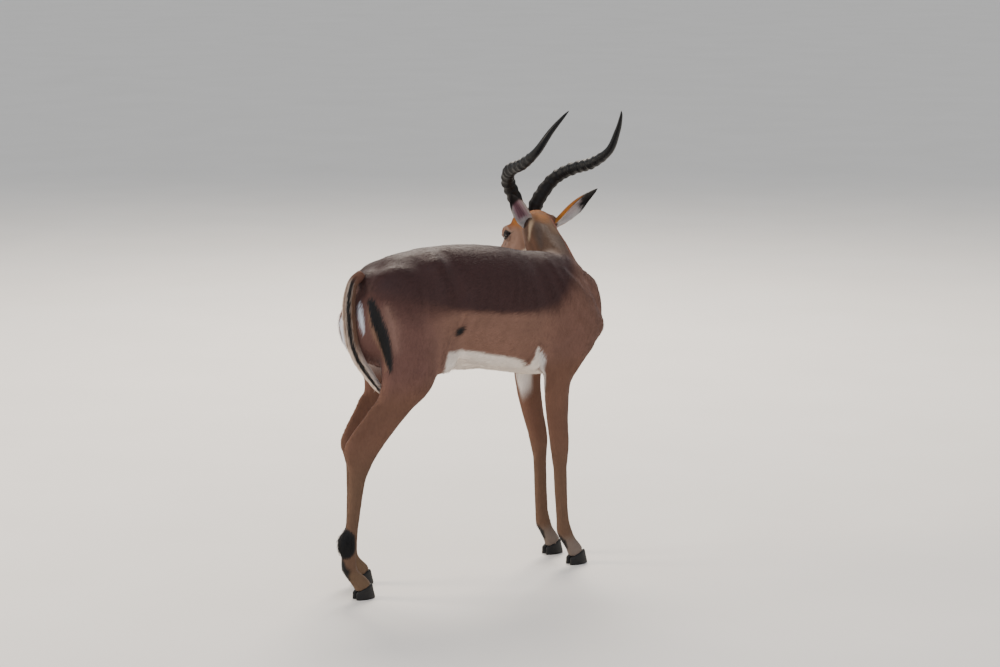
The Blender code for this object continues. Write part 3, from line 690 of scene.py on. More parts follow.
def eyeAxes(side):
    # the eye looks aside, a little back and up; its long way runs along the head
    back, aside, above = lidSettings["look"]
    look = unit(toLeft * side * aside + forward * back + headUp * above)
    tilt = math.radians(lidSettings["tilt"])
    wide = unit(forward * math.cos(tilt) + headUp * math.sin(tilt))
    wide = unit(wide - look * (wide @ look))
    high = np.cross(look, wide)
    f, l, u = headPose["eye"]
    return onHead(f, side * l, u), look, wide, high * np.sign(high @ headUp)


def lidOpening(points, side):
    # below 1 inside the opening of the lids, above 1 outside it
    centre, look, wide, high = eyeAxes(side)
    away = points - centre
    distance = np.linalg.norm(away, axis=1)
    ray = away / np.maximum(distance, 1e-6)[:, None]
    w = np.degrees(np.arctan2(ray @ wide, ray @ look))
    h = np.degrees(np.arctan2(ray @ high, ray @ look))
    wideShare = np.abs(w) / (lidSettings["halfWide"] * 1.12)
    height = lidSettings["halfHigh"] * np.maximum(0.08, 1 - wideShare ** 2.0) ** 0.8
    height = np.where(h < 0, 0.86 * height, 1.06 * height)
    shape = np.sqrt((w / lidSettings["halfWide"]) ** 4 * 0.6 + (h / height) ** 2)
    return np.where(ray @ look > 0.05, shape, 3.0), distance, ray, centre


def giveLids(mesh):
    radius, over, under, reach = headPose["eyeRadius"], *(lidSettings[k] for k in ("over", "under", "reach"))
    for side in (1, -1):
        points = pointsOf(mesh) + bodyOrigin
        opening, distance, ray, centre = lidOpening(points, side)
        fold = 1 + 0.75 * hump(opening, 1.20, 0.13) - 1.15 * hump(opening, 1.62, 0.14)
        lid = radius + over * fold
        rest = 0.5 * (distance + lid + np.sqrt((distance - lid) ** 2 + 0.0012 ** 2))  # the higher of head and lid
        depth = mixed(radius - under, rest, rising(0.93, 1.04, opening))
        depth = distance + (depth - distance) * falling(reach - 0.004, reach, distance)
        near = (distance < reach)[:, None]
        setPoints(mesh, np.where(near, centre + ray * depth[:, None], points) - bodyOrigin)


giveRelief(skin.data)
giveLids(skin.data)
print("skin shaped")


# markings: one colour for each point of the skin, which its hair takes too; among them a painted shadow behind the
# ears, a painted fold shadow on the flank and a painted sunlit rim on the neck

coatColours = {
    "saddle": "#37201e", "nape": "#432e20", "flank": "#7a5a4c", "haunch": "#674840", "shoulder": "#6e4f43",
    "neck": "#5c3e2c", "belly": "#ddd2c6", "innerLeg": "#cdc6c0", "leg": "#68493a", "cannon": "#604838",
    "pastern": "#6f6259", "black": "#070607", "rump": "#d6d9e0", "face": "#7a6053", "brow": "#7d4f33",
    "forehead": "#46271a", "crown": "#90581b", "nose": "#3a2620", "lips": "#cfc6ba", "eyeRing": "#93857c",
    # the dark tone behind the ears is painted shadow between ear, cheek and neck
    "lid": "#0d0a0a", "throat": "#cbbfb0", "behindEar": "#2c2321", "cream": "#cdb69a", "hindFace": "#765a4a",
    # the russet tone is a painted sunlit rim on the neck
    "olive": "#6f5134", "russet": "#9a5136", "hindPastern": "#68523f", "tanEdge": "#93735b", "paleHaunch": "#87695c",
}

# edges in mm: ahead, height, how soft
saddleEdge = mm([
    (-360, 838, 30), (-339, 826, 40), (-304, 810, 56), (-250, 788, 70), (-178, 768, 66), (-114, 764, 40),
    (-39, 759, 12), (33, 754, 9), (128, 743, 10), (198, 737, 18), (264, 742, 34), (299, 770, 46), (336, 812, 54),
    (380, 880, 60),
])
bellyEdge = mm([
    (-140, 628), (-100, 646), (-76, 652), (-39, 650), (18, 638), (81, 625), (130, 615), (160, 602), (182, 588),
    (192, 576), (199, 596), (205, 636), (211, 628), (218, 600), (226, 550),
])
flankFold = mm([(560, -96), (622, -91), (658, -83), (689, -66), (710, -47)])  # height, ahead

# bands in mm: a place on the body and half the width there
haunchStripe = [
    (-304, -60, 805, 10.5), (-298.5, -70, 777, 15.5), (-293.5, -79, 750, 17), (-286.5, -87, 724, 17.2),
    (-281, -92, 697, 16.5), (-277, -97, 670, 14.5), (-273, -101, 646, 10.5), (-271, -106, 622, 4.5),
]
tanBehindStripe = [(-314, -64, 790, 4), (-309, -74, 745, 8), (-298, -82, 700, 9), (-290, -90, 655, 8),
                   (-284, -98, 625, 4)]
paleBeforeStripe = [(-270, -85, 785, 10), (-262, -100, 735, 18), (-256, -106, 680, 10)]
rumpStrip = [(-324, -30, 806, 2.5), (-327, -37, 796, 5), (-329, -46, 776, 6.2), (-329, -53, 750, 5.5),
             (-326, -56, 724, 2.5)]
# a dark patch on the right flank, widened into painted shadow of the flank fold
flankSpotAndFoldShadow = [(-62, -101, 696, 7.5), (-50, -101, 705, 12), (-40, -103, 712, 8.5)]
crownBand = [(408, 215, 972, 30), (392, 180, 962, 28), (376, 150, 952, 17)]
belowCrown = [(448, 205, 950, 10), (462, 222, 940, 12)]
oliveBand = [(391, 128, 944, 12), (379, 88, 924, 10)]
# painted shadow between the ear, the cheek and the neck, mirrored behind both ears
paintedShadowBehindEar = [(352, 150, 944, 8), (341, 122, 927, 11), (329, 98, 908, 11), (321, 75, 891, 6)]
creamBehindEar = [(353, 192, 956, 7), (343, 170, 938, 8), (333, 160, 918, 6), (327, 155, 900, 3)]
neckMidline = 0.012  # the neck's middle behind the ears lies this far to the left of the head's

# bands in mm in a leg's own pattern, or on the head: forward, aside, up
hindTuft = [(-46, 91, 192, 10), (-54, 91, 173, 27), (-56, 91, 150, 29), (-60, 90, 127, 10)]
tuftSetting = {"hind_leg_right": (0.0, 1.0), "hind_leg_left": (0.022, 0.82)}  # set down, size
blackHeel = {"hind": [(-63, 90, 106, 10), (-53, 90, 86, 16.5), (-42, 90, 66, 9)],
             "fore": [(-56, 72, 84, 9), (-50, 72, 68, 15), (-40, 72, 54, 10)]}
armpitStrip = [(-142, 90, 630, 6), (-124, 86, 604, 8), (-116, 72, 565, 7), (-110, 70, 530, 5), (-104, 66, 500, 2)]
tearLine = [(116, 47, -26, 3), (126, 41, -31, 3.6), (138, 36, -35, 2)]
earBase = [(-2, 46, -38, 8), (8, 47, -44, 6)]
nostril = [(244, 9.5, -47, 1.6), (245, 12.5, -52, 2), (240, 16.5, -53, 1.4)]


def band(points, rows, soft=0.003):
    # 1 inside a band along a line, rows in metres
    rows = np.array(rows, float)
    found = np.zeros(len(points))
    for a, b in zip(rows[:-1], rows[1:]):
        along = b[:3] - a[:3]
        t = np.clip(((points - a[:3]) @ along) / (along @ along), 0, 1)
        away = np.linalg.norm(points - (a[:3] + t[:, None] * along), axis=1)
        half = a[3] + (b[3] - a[3]) * t
        found = np.maximum(found, falling(half - soft, half + soft, away))
    return found


def bothSides(points, rows, soft=0.003):
    return np.maximum(band(points, mm(rows), soft), band(points, mm(rows) * (1, -1, 1, 1), soft))


def behindEars(points, rows, soft):
    # rows on the neck behind the left ear, and their mirror behind the right one
    turnedOver = []
    for x, y, z, half in mm(rows):
        forth, left, above = headSpace(np.array([(x, y, z)]))
        turnedOver.append((*onHead(forth[0], 2 * neckMidline - left[0], above[0]), half))
    return np.maximum(band(points, mm(rows), soft), band(points, turnedOver, soft))


def legShares(body):
    # for each leg, 1 on its lower part and less up to where it joins the trunk
    shares = {}
    for leg in hindLegs + foreLegs:
        x, y, z = legSpace(leg, body)
        middle, reach, top = (0.060, 0.20, (0.52, 0.62)) if leg in hindLegs else (-0.05, 0.13, (0.56, 0.63))
        shares[leg] = falling(*top, z) * (np.abs(x - middle) < reach) * (y > 0)
    return shares


def wanderOf(body):
    # slow unevenness from -1 to 1, so that no edge of the markings is ruled
    total = np.zeros(len(body))
    steps = np.random.default_rng(7)
    for wave in range(7):
        direction = unit(steps.normal(size=3)) * (40 + 45 * wave)
        total += np.sin(body @ direction + steps.uniform(0, 6.28)) / (1 + 0.35 * wave)
    return total / 3.2


body = pointsOf(skin.data) + bodyOrigin
out = normalsOf(skin.data)
legs = legShares(body)
onHeadNow = headness(body)
wander = wanderOf(body)
skinTones, lay = painter(coatColours, "flank", len(body))


def layHead(name, share):
    lay(name, onHeadNow * share)


def markTrunk():
    x, y, z = body.T
    aside = np.abs(y)
    edge, soft = (np.interp(x, saddleEdge[:, 0], saddleEdge[:, k]) for k in (1, 2))
    lay("haunch", falling(-0.20, -0.06, x))
    lay("shoulder", rising(0.18, 0.30, x))
    lay("saddle", rising(-1, 1, (z - edge + wander * 0.004) / soft))
    inner = rising(0.10, 0.55, -out[:, 1] * np.sign(y)) * (aside > 0.008)
    for leg in hindLegs + foreLegs:
        hind = leg in hindLegs
        px, _, pz = legSpace(leg, body)
        onSide = y * sideOf(leg)
        lay("leg", legs[leg])
        lay("cannon", legs[leg] * falling(*((0.30, 0.46) if hind else (0.24, 0.40)), pz))
        lay("hindPastern" if hind else "pastern", legs[leg] * falling(0.060, 0.100, pz))
        if hind:
            paler = rising(0.45, 0.85, inner) * falling(0.66, 0.72, z) * (onSide > 0.01)
            lay("innerLeg", paler * rising(0.56, 0.63, z) * falling(0.120, 0.165, px) * (x < -0.06) * 0.4)
        else:
            lay("innerLeg", inner * rising(0.462, 0.525, z + 0.9 * (-0.082 - px)) * falling(0.60, 0.63, z)
                * falling(-0.082, -0.064, px) * (px > -0.16) * (onSide > 0.0))
            lay("innerLeg", band(body, legRows(leg, armpitStrip), 0.004))
    belly = np.interp(x, bellyEdge[:, 0], bellyEdge[:, 1]) + wander * 0.004
    fold = np.where(aside > 0.066, np.interp(z, flankFold[:, 0], flankFold[:, 1]), -0.15)
    onBelly = falling(belly - 0.005, belly + 0.005, z) * rising(-0.004, 0.004, x - fold) * falling(0.222, 0.236, x)
    underside = rising(0.15, 0.55, -out[:, 2]) * falling(0.60, 0.67, z) * falling(0.31, 0.36, x) * (z > 0.53)
    underside *= falling(0.045, 0.070, aside) * rising(-0.20, -0.13, x)
    lay("belly", np.maximum(onBelly, underside * (1 - onHeadNow)))
    lay("rump", falling(0.010, 0.018, aside) * rising(-0.30, -0.325, x) * (z < 0.76))
    lay("rump", bothSides(body, rumpStrip))
    lay("rump", inner * falling(-0.29, -0.26, x) * falling(0.72, 0.75, z) * rising(0.62, 0.68, z) * 0.22)
    lay("tanEdge", bothSides(body, tanBehindStripe, 0.007) * 0.85)
    lay("paleHaunch", bothSides(body, paleBeforeStripe, 0.020) * 0.60)
    lay("black", bothSides(body, haunchStripe, 0.0028))
    # painted shadow of the flank fold, laid in black together with the dark patch on the right flank
    lay("black", band(body, mm(flankSpotAndFoldShadow), 0.004))


def markNeck():
    x, y, z = body.T
    onNeck = rising(-0.02, 0.05, y + 0.5 * (z - 0.85)) * rising(0.27, 0.33, x + 0.2 * (z - 0.8)) * (z > 0.70)
    onNeck *= rising(0.74, 0.80, z)
    lay("neck", onNeck)
    lay("nape", onNeck * rising(-0.15, 0.55, out[:, 2] + wander * 0.1))
    lay("throat", onNeck * rising(0.55, 0.85, -out[:, 2]) * rising(0.12, 0.17, y) * 0.9)
    return onNeck


def markFeet():
    for leg in hindLegs + foreLegs:
        black = band(body, legRows(leg, blackHeel[leg[:4]]), 0.004)
        if leg in hindLegs:
            black = np.maximum(band(body, legRows(leg, hindTuft, *tuftSetting[leg]), 0.003), black)
        lay("black", black)


def markHead(onNeck):
    x, y, z = body.T
    f, l, u = headSpace(body)
    side = np.abs(l)
    lay("face", onHeadNow)
    layHead("hindFace", falling(0.010, 0.055, f) * falling(-0.02, 0.0, u))
    layHead("brow", rising(-0.016, 0.010, u) * rising(0.020, 0.050, f) * falling(0.20, 0.24, f))
    layHead("forehead", rising(0.050, 0.085, f) * falling(0.12, 0.18, f) * falling(0.012, 0.036, side)
            * rising(-0.016, 0.008, u) * 0.85)
    layHead("nose", rising(0.12, 0.20, f) * falling(0.004, 0.018, side) * rising(-0.050, -0.034, u) * 0.75)
    fromCrown = np.linalg.norm((body - onHead(0.022, 0.002, 0.012)) * (0.75, 1.0, 1.0), axis=1)
    # painted sunlit rim: a reddish tone where the neck faces forward, towards the key light
    lay("russet", onNeck * rising(0.35, 0.75, out[:, 0] + wander * 0.08) * rising(-0.15, 0.15, out[:, 2]) * 0.8)
    lay("olive", behindEars(body, oliveBand, 0.018) * 0.7)
    lay("crown", falling(0.036, 0.066, fromCrown + wander * 0.004) * rising(0.90, 0.93, z))
    lay("hindFace", band(body, mm(belowCrown), 0.016) * 0.75)
    lay("crown", band(body, mm(crownBand), 0.016) * (0.75 + 0.25 * wander))
    # painted shadow behind both ears, where ear, cheek and neck meet
    lay("behindEar", behindEars(body, paintedShadowBehindEar, 0.012) * 0.62)
    lay("cream", behindEars(body, creamBehindEar, 0.009) * 0.70)
    layHead("throat", rising(0.35, 0.8, -(out @ headUp)) * falling(-0.070, -0.056, u + 0.10 * (f - 0.10)) * 0.95)
    jaw = -0.048 - 0.12 * (f - 0.10)
    belowLip = falling(-0.046, -0.040, u)
    layHead("lips", rising(0.15, 0.20, f) * falling(jaw - 0.012, jaw + 0.002, u))
    layHead("lips", rising(0.216, 0.232, f) * belowLip)
    layHead("nose", rising(0.238, 0.243, f) * falling(0.0135, 0.0175, side) * rising(-0.0625, -0.0585, u) * belowLip)
    layHead("lid", rising(0.244, 0.2475, f) * falling(0.012, 0.015, side) * rising(-0.0620, -0.0585, u))
    layHead("lid", band(np.stack([f, side, u], 1), mm(nostril), 0.0008))
    for sign in (1, -1):
        opening, distance, ray, centre = lidOpening(body, sign)
        close = onHeadNow * (distance < 0.034)
        above = (body - centre) @ eyeAxes(sign)[3]
        lay("eyeRing", close * hump(opening, 1.75, 0.36) * mixed(0.45, 1.0, rising(-0.006, 0.008, above)) * 0.6)
        lay("lid", close * falling(1.16, 1.34, opening))
        lay("lid", band(body, headRows(sign, tearLine), 0.002) * 0.8)
        lay("eyeRing", band(body, headRows(sign, earBase), 0.008) * 0.85)


markTrunk()
onNeck = markNeck()
markFeet()
markHead(onNeck)
storeColour(skin.data, "coatColour", skinTones)


# the lie of the coat: the way the hair points at each place, blended between known ones

trunkLie = [  # place in metres on the right side, way the hair points; the left side has its mirror
    (0.3, -0.06, 0.88, -1, 0, -0.15), (0.2, -0.11, 0.8, -0.9, 0, -0.5), (0.1, -0.12, 0.75, -1, 0, -0.35),
    (0, -0.12, 0.75, -1, 0, -0.3), (-0.1, -0.11, 0.8, -1, 0, -0.35), (-0.2, -0.1, 0.8, -0.85, 0, -0.6),
    (-0.3, -0.06, 0.76, -0.35, -0.1, -1), (-0.22, -0.11, 0.66, -0.5, 0, -1), (0.05, -0.06, 0.58, -1, 0, 0),
    (0.15, -0.05, 0.56, -1, 0, 0), (-0.06, -0.1, 0.66, -0.9, 0, -0.35), (0.31, -0.1, 0.72, -0.35, 0, -1),
    (0.25, -0.1, 0.63, -0.45, 0, -1), (0.42, -0.05, 0.68, -0.25, -0.2, -1), (0.45, -0.005, 0.7, 0, 0, -1),
    (0.2, -0.01, 0.91, -1, 0, 0), (0, -0.01, 0.93, -1, 0, 0), (-0.2, -0.01, 0.92, -1, 0, -0.2),
    (-0.3, -0.01, 0.87, -0.8, 0, -0.8), (-0.335, -0.01, 0.78, 0, 0, -1), (0.36, -0.06, 0.78, -0.3, 0, -1),
    (0.38, -0.01, 0.6, -0.8, 0, -0.6),
]
neckLie = [
    (0.35, 0.05, 0.9, -0.15, -0.9, -0.4), (0.36, 0.12, 0.94, -0.1, -0.95, -0.3),
    (0.38, 0.19, 0.96, -0.1, -0.95, -0.2), (0.41, 0.05, 0.8, -0.25, -0.6, -0.8),
    (0.42, 0.12, 0.85, -0.2, -0.8, -0.55), (0.43, 0.19, 0.88, -0.15, -0.9, -0.4),
    (0.33, 0.12, 0.88, -0.1, -0.9, -0.35), (0.34, 0.07, 0.84, -0.2, -0.7, -0.7),
]
legLie = {  # mm in the leg's own pattern
    "hind": [(110, 90, 540), (50, 94, 460), (-10, 93, 350), (-25, 92, 240), (-36, 90, 140), (-10, 90, 50)],
    "fore": [(-66, 75, 550), (-66, 73, 440), (-57, 72, 340), (-52, 72, 220), (-42, 72, 120), (-10, 72, 50)]}
headLie = ((0.01, 0.0), (-0.06, -0.3))  # up, and how much the hair drops there
headLieAside = 0.035


def knownLies():
    rows = [(x, side * y, z, a, side * b, c) for x, y, z, a, b, c in trunkLie for side in (1, -1)]
    rows += [(*legPoint(leg, *p), -0.12, 0, -1) for leg in hindLegs + foreLegs for p in mm(legLie[leg[:4]])]
    rows += neckLie
    for f in (0.24, 0.20, 0.15, 0.10, 0.05, 0.00):
        rows += [(*onHead(f, side * headLieAside, up), *(-forward + headUp * drop)) for side in (1, -1)
                 for up, drop in headLie]
    return np.array(rows, float)


def lieOf(body, out):
    total = np.zeros_like(body)
    for row in knownLies():
        near = (np.linalg.norm(body - row[:3], axis=1) ** 2 + 0.0009)[:, None]
        total += unit(row[3:]) / near ** 2
    total = unit(total)
    return unit(total - out * np.sum(total * out, axis=1, keepdims=True))


storeOn(skin.data, "lie", lieOf(body, out))
print("markings and lie laid on")


# coat material, the same on the skin and on every tuft

coatFinish = {"gloss": (0.54, 0.82), "darkToPale": (0.020, 0.042), "sheen": 0.08, "sheenRoughness": 0.35,
              "sheenTint": "#cfd4e6", "grainMm": 1.6, "lockMm": 11.0, "blotchMm": 1000 / 17, "blotch": 0.16,
              "bump": 0.30, "bumpMm": 1.2}


def makeCoatMaterial():
    # short guard hair, lying flat: a silky gloss along the back, broken into fine streaks along the lie
    made, tree, shader = newMaterial(
        "sleekGuardHair", Roughness=coatFinish["gloss"][1], IOR=1.45, Specular_IOR_Level=0.30,
        Sheen_Weight=coatFinish["sheen"], Sheen_Roughness=coatFinish["sheenRoughness"],
        Sheen_Tint=coatFinish["sheenTint"])
    colour = addNode(tree, "ShaderNodeAttribute", attribute_name="coatColour")
    way = addNode(tree, "ShaderNodeAttribute", attribute_name="lie").node.outputs["Vector"]
    place = addNode(tree, "ShaderNodeTexCoord").node.outputs["Object"]
    # streaks: noise drawn out along each main direction, mixed by how far the hair runs that way
    squared = addNode(tree, "ShaderNodeVectorMath", {0: way, 1: way}, operation="MULTIPLY")
    shares = addNode(tree, "ShaderNodeSeparateXYZ", {0: squared})
    total = 0.0
    for axis in range(3):
        stretch = [1000 / coatFinish["grainMm"]] * 3
        stretch[axis] = 1000 / coatFinish["lockMm"]
        drawn = addNode(tree, "ShaderNodeMapping", {"Vector": place, "Scale": stretch})
        streak = addNode(tree, "ShaderNodeTexNoise", {"Vector": drawn, "Scale": 1.0, "Detail": 2.0})
        total = addNode(tree, "ShaderNodeMath", {0: streak, 1: shares.node.outputs[axis], 2: total},
                        operation="MULTIPLY_ADD")
    blotch = addNode(tree, "ShaderNodeTexNoise", {
        "Vector": place, "Scale": 1000 / coatFinish["blotchMm"], "Detail": 4.0})
    both = addNode(tree, "ShaderNodeMath", {0: total, 1: blotch}, operation="ADD")
    light = addNode(tree, "ShaderNodeMapRange", {
        "Value": both, "From Min": 0.6, "From Max": 1.4,
        "To Min": 1 - coatFinish["blotch"], "To Max": 1 + coatFinish["blotch"]})
    shade = addNode(tree, "ShaderNodeVectorMath", {0: colour, "Scale": light}, operation="SCALE")
    # the dark hair of the back is the sleekest, the paler coat is dull
    depth = addNode(tree, "ShaderNodeRGBToBW", {"Color": colour})
    dull = addNode(tree, "ShaderNodeMapRange", {
        "Value": depth, "From Min": coatFinish["darkToPale"][0], "From Max": coatFinish["darkToPale"][1],
        "To Min": coatFinish["gloss"][0], "To Max": coatFinish["gloss"][1]})
    bump = addNode(tree, "ShaderNodeBump", {
        "Height": total, "Strength": coatFinish["bump"], "Distance": coatFinish["bumpMm"] / 1000})
    fillShader(shader, Base_Color=shade, Roughness=dull, Normal=bump)
    return made


coatMaterial = makeCoatMaterial()


# eyes: a dark ball with a level pupil, wet under its clear front

eyePiece = {"rings": 25, "sides": 40, "gap": 0.0003, "fibreMm": 1000 / 900,
            "bulge": 0.035, "bulgeWide": 0.62}  # how proud the clear front stands
eyeLook = {"pupilWide": 27, "pupilHigh": 11, "iris": 47, "rimSoft": 8}  # degrees from the middle
eyeColours = {"iris": "#1c0d06", "pupil": "#030304", "rim": "#0b0706"}


def makeEye(side, name):
    centre, look, wide, high = eyeAxes(side)
    iris, pupil, rim = (np.array(toLinear(eyeColours[k])) for k in ("iris", "pupil", "rim"))
    rings, tones = [], []
    for i in range(eyePiece["rings"]):
        polar = math.pi * (i + 0.02) / (eyePiece["rings"] - 0.96)
        angle = math.degrees(polar)
        bulge = 1 + eyePiece["bulge"] * math.exp(-(polar / eyePiece["bulgeWide"]) ** 2)
        inRim = rising(eyeLook["iris"] - eyeLook["rimSoft"], eyeLook["iris"], angle)
        ring = []
        for turn in circle(eyePiece["sides"]):
            c, s = math.cos(turn), math.sin(turn)
            way = look * math.cos(polar) + (wide * c + high * s) * math.sin(polar)
            ring.append(centre - bodyOrigin + way * (headPose["eyeRadius"] - eyePiece["gap"]) * bulge)
            fromPupil = (angle * c / eyeLook["pupilWide"]) ** 4 + (angle * s / eyeLook["pupilHigh"]) ** 4
            fibres = iris * (0.8 + 0.4 * math.sin(17 * turn) * math.sin(29 * turn + 1))
            tones.append(mixed(mixed(fibres, pupil, falling(0.7, 1.2, fromPupil)), rim, inRim))
        rings.append(ring)
    mesh = tubeMesh(name, rings)
    storeColour(mesh, "eyeColour", tones)
    return newObject(name, mesh)


def makeEyeMaterial():
    # living eye under a wet clear front: near-black, with one sharp gleam
    made, tree, shader = newMaterial("wetDarkEye", Roughness=0.20, IOR=1.38, Specular_IOR_Level=0.20,
                                     Coat_Weight=0.16, Coat_Roughness=0.03)
    colour = addNode(tree, "ShaderNodeAttribute", attribute_name="eyeColour")
    place = addNode(tree, "ShaderNodeTexCoord").node.outputs["Object"]
    fibres = addNode(tree, "ShaderNodeTexNoise", {
        "Vector": place, "Scale": 1000 / eyePiece["fibreMm"], "Detail": 2.0})
    light = addNode(tree, "ShaderNodeMapRange", {"Value": fibres, "To Min": 0.7, "To Max": 1.3})
    shade = addNode(tree, "ShaderNodeVectorMath", {0: colour, "Scale": light},
                    operation="SCALE")
    fillShader(shader, Base_Color=shade)
    return made


sides = {"Left": 1, "Right": -1}
eyeMaterial = makeEyeMaterial()
for word, side in sides.items():
    finishPiece(makeEye(side, "eyeball" + word), eyeMaterial, "eye", "eye_" + word.lower())
print("eyes made")


# horns: a lyre of ringed horn, smooth towards the points

hornShape = {"steps": 30, "sides": 36, "rings": 300, "firstRing": 0.012, "ringStep": 0.0262, "ringEnd": 0.62,
             "ringHeight": 0.0034, "root": 0.030, "seed": {1: 11, -1: 12}}
hornRows = [  # mm: ahead of the poll, to the side, above, radius
    (60, 25, 12, 19), (60, 38, 47, 18.8), (51, 72, 99, 17.6), (22, 94, 129, 16.7), (-22, 109, 149, 15.7),
    (-87, 119, 169, 14.1), (-158, 124, 211, 11.9), (-207, 114, 271, 8.4), (-240, 99, 313, 4.6),
    (-253, 90, 331, 1.3),
]


def makeHorn(side, name):
    rows = smoothCurve(mm(hornRows), hornShape["steps"])
    points = np.array([fromPoll(a, side * l, u) for a, l, u, radius in rows])
    start = points[0] - unit(points[1] - points[0]) * hornShape["root"]  # goes down into the skull
    points = np.vstack([[start], points])
    radii = np.concatenate([[rows[0, 3] * 0.98], rows[:, 3]])
    run = np.concatenate([[0], np.cumsum(np.linalg.norm(np.diff(points, axis=0), axis=1))])
    count = hornShape["rings"]
    places = np.linspace(0, run[-1], count)
    points = np.stack([np.interp(places, run, points[:, k]) for k in range(3)], 1)
    radii = np.interp(places, run, radii)
    height = places - hornShape["root"]
    length = height[-1]
    draw = np.random.default_rng(hornShape["seed"][side])
    jitter = np.interp(height, np.linspace(0, length, 30), draw.normal(0, 0.0022, 30))
    ringDepth = np.interp(height, np.linspace(0, length, 40), draw.uniform(0.75, 1.2, 40))
    frontWay = unit(ahead * 0.8 + toLeft * side * 0.5 + aboveHead * 0.5)
    across = unit(np.cross(ahead, (0, 0, 1)))
    rings, wear = [], []
    for i, point in enumerate(points):
        along = unit(points[min(i + 1, count - 1)] - points[max(i - 1, 0)])
        across = unit(across - along * (across @ along))
        front = np.cross(along, across)
        if front @ ahead < 0 and i < 2:
            front = -front
        phase = (height[i] + jitter[i] - hornShape["firstRing"]) / hornShape["ringStep"]
        ringed = rising(0.0, 0.02, height[i] - 0.008) * falling(
            hornShape["ringEnd"] - 0.08, hornShape["ringEnd"] + 0.06, height[i] / length)
        ridge = rising(0.08, 0.42, phase % 1) * falling(0.52, 0.86, phase % 1) if phase > 0 else 0.0
        ring = []
        for turn in circle(hornShape["sides"]):
            way = across * math.cos(turn) + front * math.sin(turn)
            onFront = 0.5 + 0.5 * (way @ frontWay)
            rise = hornShape["ringHeight"] * ringed * ringDepth[i] * (ridge + 0.25) * (0.40 + 0.60 * onFront)
            rise += 0.00030 * math.sin(turn * 9 + 3 * math.sin(height[i] * 30)) * radii[i] / 0.018  # long grooves
            ring.append(point + way * max(radii[i] + rise * min(1, radii[i] / 0.011), 0.0004) - bodyOrigin)
            wear.append(ridge * ringed * (0.3 + 0.7 * onFront))
        rings.append(ring)
    mesh = tubeMesh(name, rings)
    storeOn(mesh, "ridgeWear", wear)
    storeOn(mesh, "hornHeight", np.repeat(height / length, hornShape["sides"]))
    return newObject(name, mesh)


hornFinish = {"base": "#140e0a", "upper": "#06090d", "rubbed": "#1b1c20", "baseTo": (0.03, 0.40), "grainMm": 6.25,
              "dull": 0.56, "polished": 0.40, "bump": 0.25, "bumpMm": 0.8}


def makeHornMaterial():
    # keratin sheath: dark, dull and brownish at the base, its ring tops rubbed pale, its point polished
    made, tree, shader = newMaterial("ringedHornSheath", Roughness=0.50, IOR=1.54, Specular_IOR_Level=0.18)
    height = addNode(tree, "ShaderNodeAttribute", attribute_name="hornHeight").node.outputs["Fac"]
    wear = addNode(tree, "ShaderNodeAttribute", attribute_name="ridgeWear").node.outputs["Fac"]
    place = addNode(tree, "ShaderNodeTexCoord").node.outputs["Object"]
    grain = addNode(tree, "ShaderNodeTexNoise", {
        "Vector": place, "Scale": 1000 / hornFinish["grainMm"], "Detail": 5.0, "Roughness": 0.65})
    tone = addNode(tree, "ShaderNodeValToRGB", {"Fac": height})
    for stop, position, colour in zip(tone.node.color_ramp.elements, hornFinish["baseTo"], ("base", "upper")):
        stop.position = position
        stop.color = (*toLinear(hornFinish[colour]), 1)
    rubbed = addNode(tree, "ShaderNodeMath", {0: wear, 1: grain}, operation="MULTIPLY")
    worn = addNode(tree, "ShaderNodeMix", {
        "Factor": rubbed, "A": tone, "B": hornFinish["rubbed"]}, data_type="RGBA")
    dull = addNode(tree, "ShaderNodeMapRange", {
        "Value": height, "From Min": 0.3, "From Max": 0.8,
        "To Min": hornFinish["dull"], "To Max": hornFinish["polished"]})
    bump = addNode(tree, "ShaderNodeBump", {
        "Height": grain, "Strength": hornFinish["bump"], "Distance": hornFinish["bumpMm"] / 1000})
    fillShader(shader, Base_Color=worn, Roughness=dull,
               Normal=bump)
    return made


hornMaterial = makeHornMaterial()
for word, side in sides.items():
    finishPiece(makeHorn(side, "ringedHorn" + word), hornMaterial, "horn", "horn_" + word.lower())
print("horns made")


# hooves: two narrow claws to a foot, with growth rings, a rounded top edge and a flat sole

clawShape = {"length": 0.058, "half": 0.0098, "track": 0.0104, "sides": 40, "rings": 26, "topHeight": 0.0295,
             "topSlope": 0.42, "pointed": 0.42, "over": 1.10}
clawProfile = np.array([  # share of the height, size, lead in metres; past 1 the top is rounded over
    (0.0, 0.955, 0.0029), (0.02, 1.0, 0.0030), (0.12, 1.02, 0.0028), (0.55, 0.93, 0.0010), (0.92, 0.875, -0.0008),
    (1.0, 0.85, -0.0010), (1.10, 0.74, -0.0012)])


